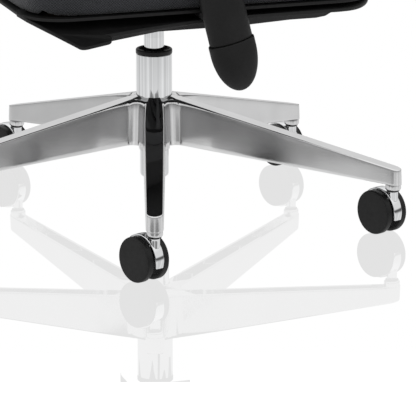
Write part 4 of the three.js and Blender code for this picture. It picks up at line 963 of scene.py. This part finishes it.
def gauss(distance, width):
    return np.exp(-(distance / width) ** 2)


def chair_mm(cloud):
    return (cloud - np.array(AXIS)) / MM


def seat_measures(piece):
    """Each point's place, shares across and back, height, and distances to the side and front seams."""
    local = chair_mm(coordinates(piece.data))
    u, v = local[:, 0] / SEAT_HALF, (local[:, 1] - SEAT_MID) / SEAT_DEEP
    side_seam = np.abs(np.abs(u) - seat_seam_at(v)) * SEAT_HALF
    front_seam = np.abs(v + FRONT_SEAM) * SEAT_DEEP
    return local, u, v, local[:, 2] - CUSHION_FOOT, side_seam, front_seam


def seat_cushion():
    """Foam seat in woven cloth: puffed panels between two lengthwise seams and a front roll seam."""
    piece = remeshed("seat_cushion_cover", solid_from(seat_form, 40, 40, 8), 5.0)
    local, u, v, tall, side_seam, front_seam = seat_measures(piece)
    inner = np.abs(u) < seat_seam_at(v)
    seams = (tall > UPPER_FROM) & ((side_seam < 3.4) | (inner & (front_seam < 3.4)))
    piping = (np.maximum(np.abs(u), np.abs(v)) > 0.9) & (np.abs(tall - PIPING_HEIGHT) < 3.2)
    inflate(piece, 4.0, 13.0, (tall < 3.0) | seams | piping)
    soften(piece, 0.4, 2)
    local, u, v, tall, side_seam, front_seam = seat_measures(piece)
    dent = 2.6 * gauss(side_seam, 3.6) + 2.2 * gauss(front_seam, 3.6) * (np.abs(u) < seat_seam_at(v))
    local[:, 2] -= dent * (tall > UPPER_FROM)
    local[:, 2] = np.maximum(local[:, 2], CUSHION_FOOT)
    inside = (np.abs(local[:, 0]) < SEAT_HALF - 25.0) & (np.abs(local[:, 1] - SEAT_MID) < SEAT_DEEP - 25.0)
    local[inside & (tall < 4), 2] = CUSHION_FOOT + PANEL_ROOM
    put_coordinates(piece, local * MM + np.array(AXIS))
    dress(piece, FABRIC, "seat", ["seat_cushion"])
    shade_smooth(piece)
    return piece


def seat_seam_at(v):
    return SEAT_SEAM - 0.05 * np.asarray(v) ** 2


def surface_of(piece):
    graph = bpy.context.evaluated_depsgraph_get()
    work = bmesh.new()
    work.from_object(piece, graph)
    tree = BVHTree.FromBMesh(work)
    work.free()
    return tree


def dropped(tree, x, y, proud=0.0):
    """The cushion's top at (x, y), in the chair's millimetres."""
    start = Vector((x * MM + AXIS.x, y * MM + AXIS.y, 1.2))
    hit = tree.ray_cast(start, Vector((0, 0, -1)))[0]
    return (x, y, hit.z / MM + proud) if hit else None


def pulled_in(tree, x, y, z, proud=0.0):
    """The cushion's side seen from (x, y, z) looking towards the swivel axis at the same height."""
    start = Vector((x * MM + AXIS.x, y * MM + AXIS.y, z * MM))
    way = Vector((-x, -(y - SEAT_MID), 0)).normalized()
    hit = tree.ray_cast(start, way)[0]
    if not hit:
        return None
    spot = hit - way * (proud * MM)
    return ((spot.x - AXIS.x) / MM, (spot.y - AXIS.y) / MM, z)


def stitches(row, length_mm=4.2, gap_mm=2.2, radius_mm=0.55):
    """Short lengths of thread along a row of points; a point that missed the cushion is None."""
    parts, run, stitch = [], 0.0, []
    points = [Vector(p) for p in row if p]
    for a, b in zip(points, points[1:]):
        size = (b - a).length
        steps = max(1, int(size))
        for k in range(steps):
            if run % (length_mm + gap_mm) < length_mm:
                stitch.append(a.lerp(b, k / steps))
            else:
                if len(stitch) > 2:
                    parts.append(tube(stitch, radius_mm, 6))
                stitch = []
            run += size / steps
    return parts


def seat_trim(cushion):
    """Piping round the cushion's boxing seam and twin rows of stitches beside the top seams."""
    tree = surface_of(cushion)
    path = []
    for k in range(220):
        angle = 2 * math.pi * k / 220
        x, y = 420 * math.cos(angle), SEAT_MID + 420 * math.sin(angle)
        path.append(pulled_in(tree, x, y, CUSHION_FOOT + PIPING_HEIGHT, 0.3))
    piping = tube([spot for spot in path if spot], 2.3, 12, closed=True)
    add_piece("seat_cushion_piping", [piping], FABRIC, "seat", (), 60.0)
    rows = []
    for side in (1, -1):
        for offset in STITCH_ROWS:
            row = []
            for y in np.arange(SEAT_FRONT + 26, SEAT_REAR - 26, 2.0):
                v = (y - SEAT_MID) / SEAT_DEEP
                row.append(dropped(tree, side * (float(seat_seam_at(v)) * SEAT_HALF + offset), y, 0.15))
            rows += stitches(row)
    for offset in STITCH_ROWS:
        y = SEAT_MID - FRONT_SEAM * SEAT_DEEP + offset
        rows += stitches([dropped(tree, x, y, 0.15) for x in np.arange(-158, 158.1, 2.0)])
    add_piece("seat_cushion_stitching", rows, THREAD, "seat", (), 60.0)


seat_trim(seat_cushion())


# ---------------------------------------------------------------- back

BACK_HALF = 235.0
BACK_LOW, BACK_HIGH = 458.0, 1030.0
BACK_MID, BACK_TALL = (BACK_LOW + BACK_HIGH) / 2, (BACK_HIGH - BACK_LOW) / 2
BACK_FACE = 244.0


def back_face(share, z):
    """The back shell's front face at a share across and a height."""
    rise = (z - BACK_LOW) / (BACK_HIGH - BACK_LOW)
    lumbar = 16.0 * math.exp(-(((rise - 0.24) / 0.22) ** 2))
    return BACK_FACE + math.tan(math.radians(8.0)) * (z - BACK_LOW) - lumbar - 38.0 * share * share


def back_spot(u, v, inset, offset):
    """A point of the back at shares u across and v up, 'offset' behind the shell's front face."""
    a, b = square_to_round(u, v, 5.0)
    narrow = 1 - 0.06 * max(0.0, v) ** 2
    z = BACK_MID + b * (BACK_TALL - inset)
    share = a * (BACK_HALF - inset) * narrow / BACK_HALF
    return share * BACK_HALF, back_face(share, z) + offset, z


SHELL_GROOVES = (0.12, 0.21, 0.30, 0.39, 0.48)


def back_shell():
    """The moulded rear shell: a rolled rim, a raised field and a row of cross grooves above the upright."""
    def place(u, w, v):
        edge = max(abs(u), abs(v))
        rim = max(0.0, edge - 0.93) / 0.07
        rolled = math.sqrt(max(0.0, 1 - rim * rim))
        field = 1.0 / (1.0 + math.exp(((u ** 8 + v ** 8) ** 0.125 - 0.82) * 110))
        groove = sum(math.exp(-(((v - at) / 0.012) ** 2)) for at in SHELL_GROOVES)
        groove *= 1.0 / (1.0 + math.exp((abs(u) - 0.6) * 90))
        rear = 5.0 + 4.0 * rolled + 2.8 * field - 2.2 * groove
        return back_spot(u, v, 0.0, 4.0 - 4.0 * rolled if w < 0 else rear)

    work = solid_from(place, 120, 2, 200)
    mesh = bpy.data.meshes.new("back_shell_cover")
    work.to_mesh(mesh)
    work.free()
    finish_mesh(mesh, 40.0)
    dress(linked("back_shell_cover", mesh), GRAINED, "back", ["back_shell"])


back_shell()

CHANNELS = (-0.52, -0.18, 0.16, 0.50)  # shares of the half height
BACK_SEAM = 0.84  # share of the half width
FRONT_DEPTH = -20.0  # a point this far before the shell's face is on the cushion's front


def back_form(u, w, v):
    front = -47.0 + 19.0 * towards_rim(*square_to_round(u, v, 5.0), 5.0)
    rear = -0.8
    t = (w + 1) / 2
    return back_spot(u * 0.975, v * 0.975, 8.0, front + (rear - front) * t)


def back_measures(piece):
    """Each point's place, shares across and up, the shell's face there, and distances to the seams."""
    local = chair_mm(coordinates(piece.data))
    u, v = local[:, 0] / BACK_HALF, (local[:, 2] - BACK_MID) / BACK_TALL
    face = np.array([back_face(a, z) for a, z in zip(u, local[:, 2])])
    channel = np.min(np.abs(v[:, None] - np.array(CHANNELS)[None, :]), axis=1) * BACK_TALL
    side_seam = np.abs(np.abs(u) - BACK_SEAM) * BACK_HALF
    return local, u, v, face, channel, side_seam


def back_cushion():
    """Foam back in woven cloth with four sewn cross channels."""
    piece = remeshed("back_cushion_cover", solid_from(back_form, 40, 6, 48), 5.0)
    local, u, v, face, channel, side_seam = back_measures(piece)
    depth = local[:, 1] - face
    sewn = ((np.abs(u) < BACK_SEAM) & (channel < 3.3)) | ((side_seam < 3.3) & (np.abs(v) < 0.8))
    inflate(piece, 4.0, 12.0, (depth > -3.5) | ((depth < FRONT_DEPTH) & sewn))
    soften(piece, 0.4, 2)
    local, u, v, face, channel, side_seam = back_measures(piece)
    fade = np.clip((0.93 - np.abs(v)) / 0.13, 0.0, 1.0)
    dent = np.maximum(2.6 * gauss(channel, 4.0) * (np.abs(u) < BACK_SEAM), 2.4 * gauss(side_seam, 4.0) * fade)
    local[:, 1] += dent * (local[:, 1] - face < FRONT_DEPTH)
    local[:, 1] = np.minimum(local[:, 1], face - 0.6)
    put_coordinates(piece, local * MM + np.array(AXIS))
    dress(piece, FABRIC, "back", ["back_cushion"])
    shade_smooth(piece)
    return piece


def from_front(tree, x, z, proud=0.0):
    start = Vector((x * MM + AXIS.x, -0.6 + AXIS.y, z * MM))
    hit = tree.ray_cast(start, Vector((0, 1, 0)))[0]
    return (x, (hit.y - AXIS.y) / MM - proud, z) if hit else None


def back_trim(cushion):
    """Twin rows of stitches beside the channels and side seams, and piping near the rear edge."""
    tree = surface_of(cushion)
    rows = []
    for share in CHANNELS:
        for offset in STITCH_ROWS:
            z = BACK_MID + share * BACK_TALL + offset
            rows += stitches([from_front(tree, x, z, 0.15) for x in np.arange(-190, 190.1, 2.0)])
    heights = np.arange(BACK_MID - 0.88 * BACK_TALL, BACK_MID + 0.84 * BACK_TALL, 2.0)
    for side in (1, -1):
        for offset in STITCH_ROWS:
            x = side * (BACK_SEAM * BACK_HALF + offset)
            rows += stitches([from_front(tree, x, z, 0.15) for z in heights])
    add_piece("back_cushion_stitching", rows, THREAD, "back", (), 60.0)
    path = []
    for k in range(260):
        angle = 2 * math.pi * k / 260
        c, s = math.cos(angle), math.sin(angle)
        size = max(abs(c), abs(s))
        path.append(back_spot(c / size * 0.985, s / size * 0.985, 8.0, -10.0))
    add_piece("back_cushion_piping", [tube(path, 2.4, 12, closed=True)], FABRIC, "back", (), 60.0)


back_trim(back_cushion())


# ---------------------------------------------------------------- armrests

ARM_X = 270.0
ARM_FOOT_Y, ARM_FOOT_Z = 36.8, 239.4
ARM_LEAN = math.radians(14.0)


def arm_frame(side):
    return (Matrix.Translation((ARM_X * side, ARM_FOOT_Y, ARM_FOOT_Z)) @ Matrix.Rotation(ARM_LEAN, 4, "X")
            @ Matrix.Scale(side, 4, (1, 0, 0)))


def boot_part():
    """The cup at the armrest's foot: a round bowl, then straight up to a rounded rim."""
    half_x, half_y, bowl, rim_r = 20.0, 32.0, 57.0, 1.6
    rings = []
    for z in [bowl * (1 - math.cos(math.pi / 2 * k / 22)) for k in range(1, 23)] + [60.0, 64.0, 67.5]:
        fall = max(0.0, 1 - z / bowl)
        size = math.sqrt(max(0.0, 1 - fall * fall))
        rings.append(oval(half_x * size, half_y * size, 2.15, 72, z))
    for k in range(1, 5):
        angle = math.pi / 2 * k / 4
        inset = rim_r * (1 - math.cos(angle))
        rings.append(oval(half_x - inset, half_y - inset, 2.15, 72, 68.4 + rim_r * math.sin(angle)))
    return skin(rings, capped=True)


def sleeve_part():
    rings = []
    for z, inset in ((70.3, 1.2), (70.8, 0.4), (71.8, 0.0), (110, 0.0), (180, 0.0), (240, 0.0), (247.5, 0.0),
                     (249.3, 0.7), (250, 2.2)):
        ring = [(max(x, -15.0 + inset), y, z) for x, y, _ in oval(18.0 - inset, 30.0 - inset, 2.1, 72)]
        rings.append(ring)
    bore = [[(x, y, z) for x, y, _ in oval(8.6, 22.6, 8.0, 72)] for z in (250, 246, 110)]
    return skin(rings + bore, capped=True)


def post_part():
    rings = [oval(8.0, 22.0, 8.0, 72, z) for z in (112.0, 200.0, 300.0, 318.0)]
    for k in range(6):
        t = k / 5
        ease = t * t * (3 - 2 * t)
        rings.append(oval(8.0 + 9.0 * ease, 22.0 + 8.0 * ease, 8.0 - 5.8 * ease, 72, 318.5 + 6.0 * t))
    rings += [oval(17.0, 30.0, 2.2, 72, z) for z in (330.0, 345.0, 354.6)]
    rings += [oval(16.3, 29.3, 2.2, 72, 355.7), oval(15.0, 28.0, 2.2, 72, 356.0)]
    return skin(rings, capped=True)


def pad_part():
    """The arm pad: rounded soft edges, a slightly dished top and a flat rigid underside."""
    rings = []
    outline = [(0.93, 0.0), (0.955, 0.8), (0.97, 3.0), (0.985, 7.0), (1.0, 12.0), (0.995, 17.0),
               (0.965, 21.4), (0.91, 24.4), (0.83, 25.8), (0.7, 26.0), (0.5, 25.5), (0.3, 25.1), (0.1, 25.0)]
    for size, z in outline:
        shrink = 44.0 * (1 - size)
        rings.append(oval(44.0 - shrink, 132.0 - shrink * (1.0 if size > 0.7 else 2.2), 3.4, 96, z))
    return skin(rings, capped=True)


def button_part():
    rings = [[(x, y, z) for y, z, _ in oval(h, h, 5.0, 40)] for x, h in
             ((13.0, 8.0), (19.2, 8.0), (20.1, 7.6), (20.5, 6.8), (20.5, 3.0))]
    return moved(skin(rings, capped=True), Matrix.Translation((0, 0, 339.0)))


def armrests():
    for name, side in (("left", 1), ("right", -1)):
        place = arm_frame(side)
        low, high = chair_box(f"{name}_arm_pad")
        at = Matrix.Translation(((low[0] + high[0]) / 2, (low[1] + high[1]) / 2, low[2]))
        post, button = f"{name}_armrest", f"{name}_arm_button"
        for piece, node, part, where, finish, body, slot, sharp_deg in (
            ("boot_shell", "boot", boot_part(), place, GRAINED, "seat", "black_plastic", 40.0),
            ("sleeve_shell", "sleeve", sleeve_part(), place, GRAINED, "seat", "black_plastic", 35.0),
            ("post_column", "post", post_part(), place, SMOOTH, post, "black_plastic", 40.0),
            ("pad_cover", "pad", pad_part(), at, ARMPAD, post, "armpad", 60.0),
            ("button_cap", "button", button_part(), place, SMOOTH, button, "black_plastic", 40.0),
        ):
            made = add_piece(f"{name}_{piece}", [moved(part, where)], finish, body,
                             [f"{name}_arm_{node}"], sharp_deg)
            made.visible_glossy = side > 0  # the far armrest would show as a black patch in the base


armrests()


# ---------------------------------------------------------------- studio

SHADE_LEVEL = 0.22
CAMERA_AZIMUTH = math.radians(72.0)
FLOOR_GLOW, FLOOR_MIRROR = 1.155, 0.34
FLOOR_REACH, DOME_R = 30.0, 28
SKY = [  # elevation in degrees, level
    (-90, 0.75), (-12, 0.76), (-8, 0.66), (-4, 0.22), (0, 0.06), (4, 0.16), (8, 0.70), (25, 0.70),
    (45, 0.9), (90, 0.9),
]


def sky():
    """What reflections see: bands by elevation, streaked by azimuth below the horizon."""
    world = bpy.data.worlds.new("studio")
    bpy.context.scene.world = world
    world.use_nodes = True
    tree = world.node_tree
    graph = Graph(tree)
    way = graph.put("ShaderNodeTexCoord")
    x, y, height = (graph.axis(way, i) for i in range(3))
    ramp = tree.nodes.new("ShaderNodeValToRGB")
    tree.links.new(graph.math("MULTIPLY_ADD", height, 0.5, 0.5), ramp.inputs[0])
    while len(ramp.color_ramp.elements) < len(SKY):
        ramp.color_ramp.elements.new(0.5)
    for stop, (elevation, level) in zip(ramp.color_ramp.elements, SKY):
        stop.position = (math.sin(math.radians(elevation)) + 1) / 2
        stop.color = grey(level)
    azimuth = graph.put("ShaderNodeCombineXYZ", {0: graph.math("ARCTAN2", y, x)})
    level = graph.ramp(graph.noise(azimuth, 2.4, 3.0, 0.6), 0.32, 0.68, 0.6, 1.2)
    below = graph.ramp(height, -0.12, 0.0, 1.0, 0.0)
    level = graph.math("MULTIPLY_ADD", graph.math("SUBTRACT", level, 1.0), below, 1.0)
    again = graph.math("GREATER_THAN", graph.put("ShaderNodeLightPath", out=9), 2.5)
    level = graph.math("MULTIPLY", level, graph.math("MULTIPLY_ADD", again, -0.5, 1.0))
    banded = graph.put("ShaderNodeVectorMath", {0: ramp.outputs[0], 3: level}, operation="SCALE")
    tree.links.new(banded, tree.nodes["Background"].inputs[0])
    tree.nodes["Background"].inputs[1].default_value = 1.0


def stage_piece(name, points, faces, surface):
    """A stage object; 'surface' takes its material's graph and returns the shader to show."""
    shown = bpy.data.materials.new(name)
    shown.use_nodes = True
    shader = surface(Graph(shown.node_tree))
    shown.node_tree.links.new(shader, shown.node_tree.nodes["Material Output"].inputs[0])
    mesh = bpy.data.meshes.new(name)
    mesh.from_pydata(points, [], faces)
    mesh.materials.append(shown)
    made = linked(name, mesh)
    return made


def emission(nodes, level=1.0, strength=1.0):
    return nodes.put("ShaderNodeEmission", {0: grey(level), 1: strength})


def card(name, left, right, low, high, level, soft, one_sided):
    """A glowing card that only reflections see; low and high are (depth, height) in the camera's plan."""
    def surface(nodes):
        spot = nodes.put("ShaderNodeTexCoord")
        share = 1.0
        for axis in (0, 1):
            off = nodes.math("ABSOLUTE", nodes.math("SUBTRACT", nodes.axis(spot, axis), 0.5))
            share = nodes.math("MULTIPLY", nodes.ramp(off, 0.5 - soft, 0.5, 1.0, 0.0), share)
        if one_sided:
            share = nodes.math("SUBTRACT", 1.0, nodes.put("ShaderNodeNewGeometry", out="Backfacing"))
        clear = nodes.put("ShaderNodeBsdfTransparent")
        return nodes.put("ShaderNodeMixShader", {0: share, 1: clear, 2: emission(nodes, level)})

    turn = Matrix.Rotation(CAMERA_AZIMUTH, 4, "Z")
    corners = [(left, *low), (right, *low), (right, *high), (left, *high)]
    made = stage_piece(name, [tuple(turn @ Vector(c) + AXIS) for c in corners], [[0, 1, 2, 3]], surface)
    made.visible_camera = made.visible_diffuse = made.visible_shadow = False


def studio():
    """A white floor with a weak mirror, a white surround for the camera and a banded sky for reflections."""
    scene = bpy.context.scene
    scene.view_settings.view_transform = "Standard"
    scene.view_settings.look = "None"
    sky()

    def floor_surface(nodes):
        mirror = nodes.put("ShaderNodeBsdfGlossy", {"Color": (1, 1, 1, 1), "Roughness": 0.0})
        glow = emission(nodes, 1.0, FLOOR_GLOW)
        return nodes.put("ShaderNodeMixShader", {0: FLOOR_MIRROR, 1: glow, 2: mirror})

    far = FLOOR_REACH
    corners = [(-far, -far, 0), (far, -far, 0), (far, far, 0), (-far, far, 0)]
    floor = stage_piece("studio_floor", corners, [[0, 1, 2, 3]], floor_surface)
    floor.visible_glossy = False

    for name, side in (("shade_right", 1), ("shade_left", -1)):
        card(name, side * 0.03, side * 0.38, (-0.84, -0.005), (-0.50, -0.005), SHADE_LEVEL, 0.2, False)
    for name, left, right, foot in (
        ("screen_left", -0.5, -0.045, 0.05), ("screen_middle", -0.045, 0.045, 0.088),
        ("screen_right", 0.045, 0.5, 0.05),
    ):
        card(name, left, right, (-0.5, foot), (-0.5, 0.42), 1.0, 0.0, True)

    rings = []
    for e in np.linspace(-0.1, math.pi / 2, 13):
        level, z = DOME_R * math.cos(e), DOME_R * math.sin(e) - 1
        rings.append([(level * math.cos(a), level * math.sin(a), z)
                      for a in np.linspace(0, 2 * math.pi, 49)[:-1]])
    dome = stage_piece("studio_surround", *skin(rings), emission)
    dome.visible_glossy = dome.visible_diffuse = dome.visible_shadow = False
    dome.visible_transmission = dome.visible_volume_scatter = False


CAMERA_RANGE = 5.0
CAMERA_HEIGHT = 1.3418
CAMERA_YAW = 0.0151
CAMERA_PITCH = 0.2601
CAMERA_LENS = 316.5


def camera():
    data = bpy.data.cameras.new("camera")
    data.lens = CAMERA_LENS
    data.sensor_width = 36.0
    data.clip_start, data.clip_end = 0.1, 300.0
    made = linked("camera", data)
    bpy.context.scene.camera = made
    level = math.cos(CAMERA_PITCH)
    forward = Vector((math.sin(CAMERA_YAW) * level, math.cos(CAMERA_YAW) * level, -math.sin(CAMERA_PITCH)))
    right = Vector((math.cos(CAMERA_YAW), -math.sin(CAMERA_YAW), 0.0))
    up = right.cross(forward)
    turn = Matrix.Rotation(CAMERA_AZIMUTH, 3, "Z")
    axes = Matrix((turn @ right, turn @ up, -(turn @ forward))).transposed()
    place = turn @ Vector((0.0, -CAMERA_RANGE, CAMERA_HEIGHT)) + AXIS
    made.matrix_world = Matrix.Translation(place) @ axes.to_4x4()


studio()
camera()
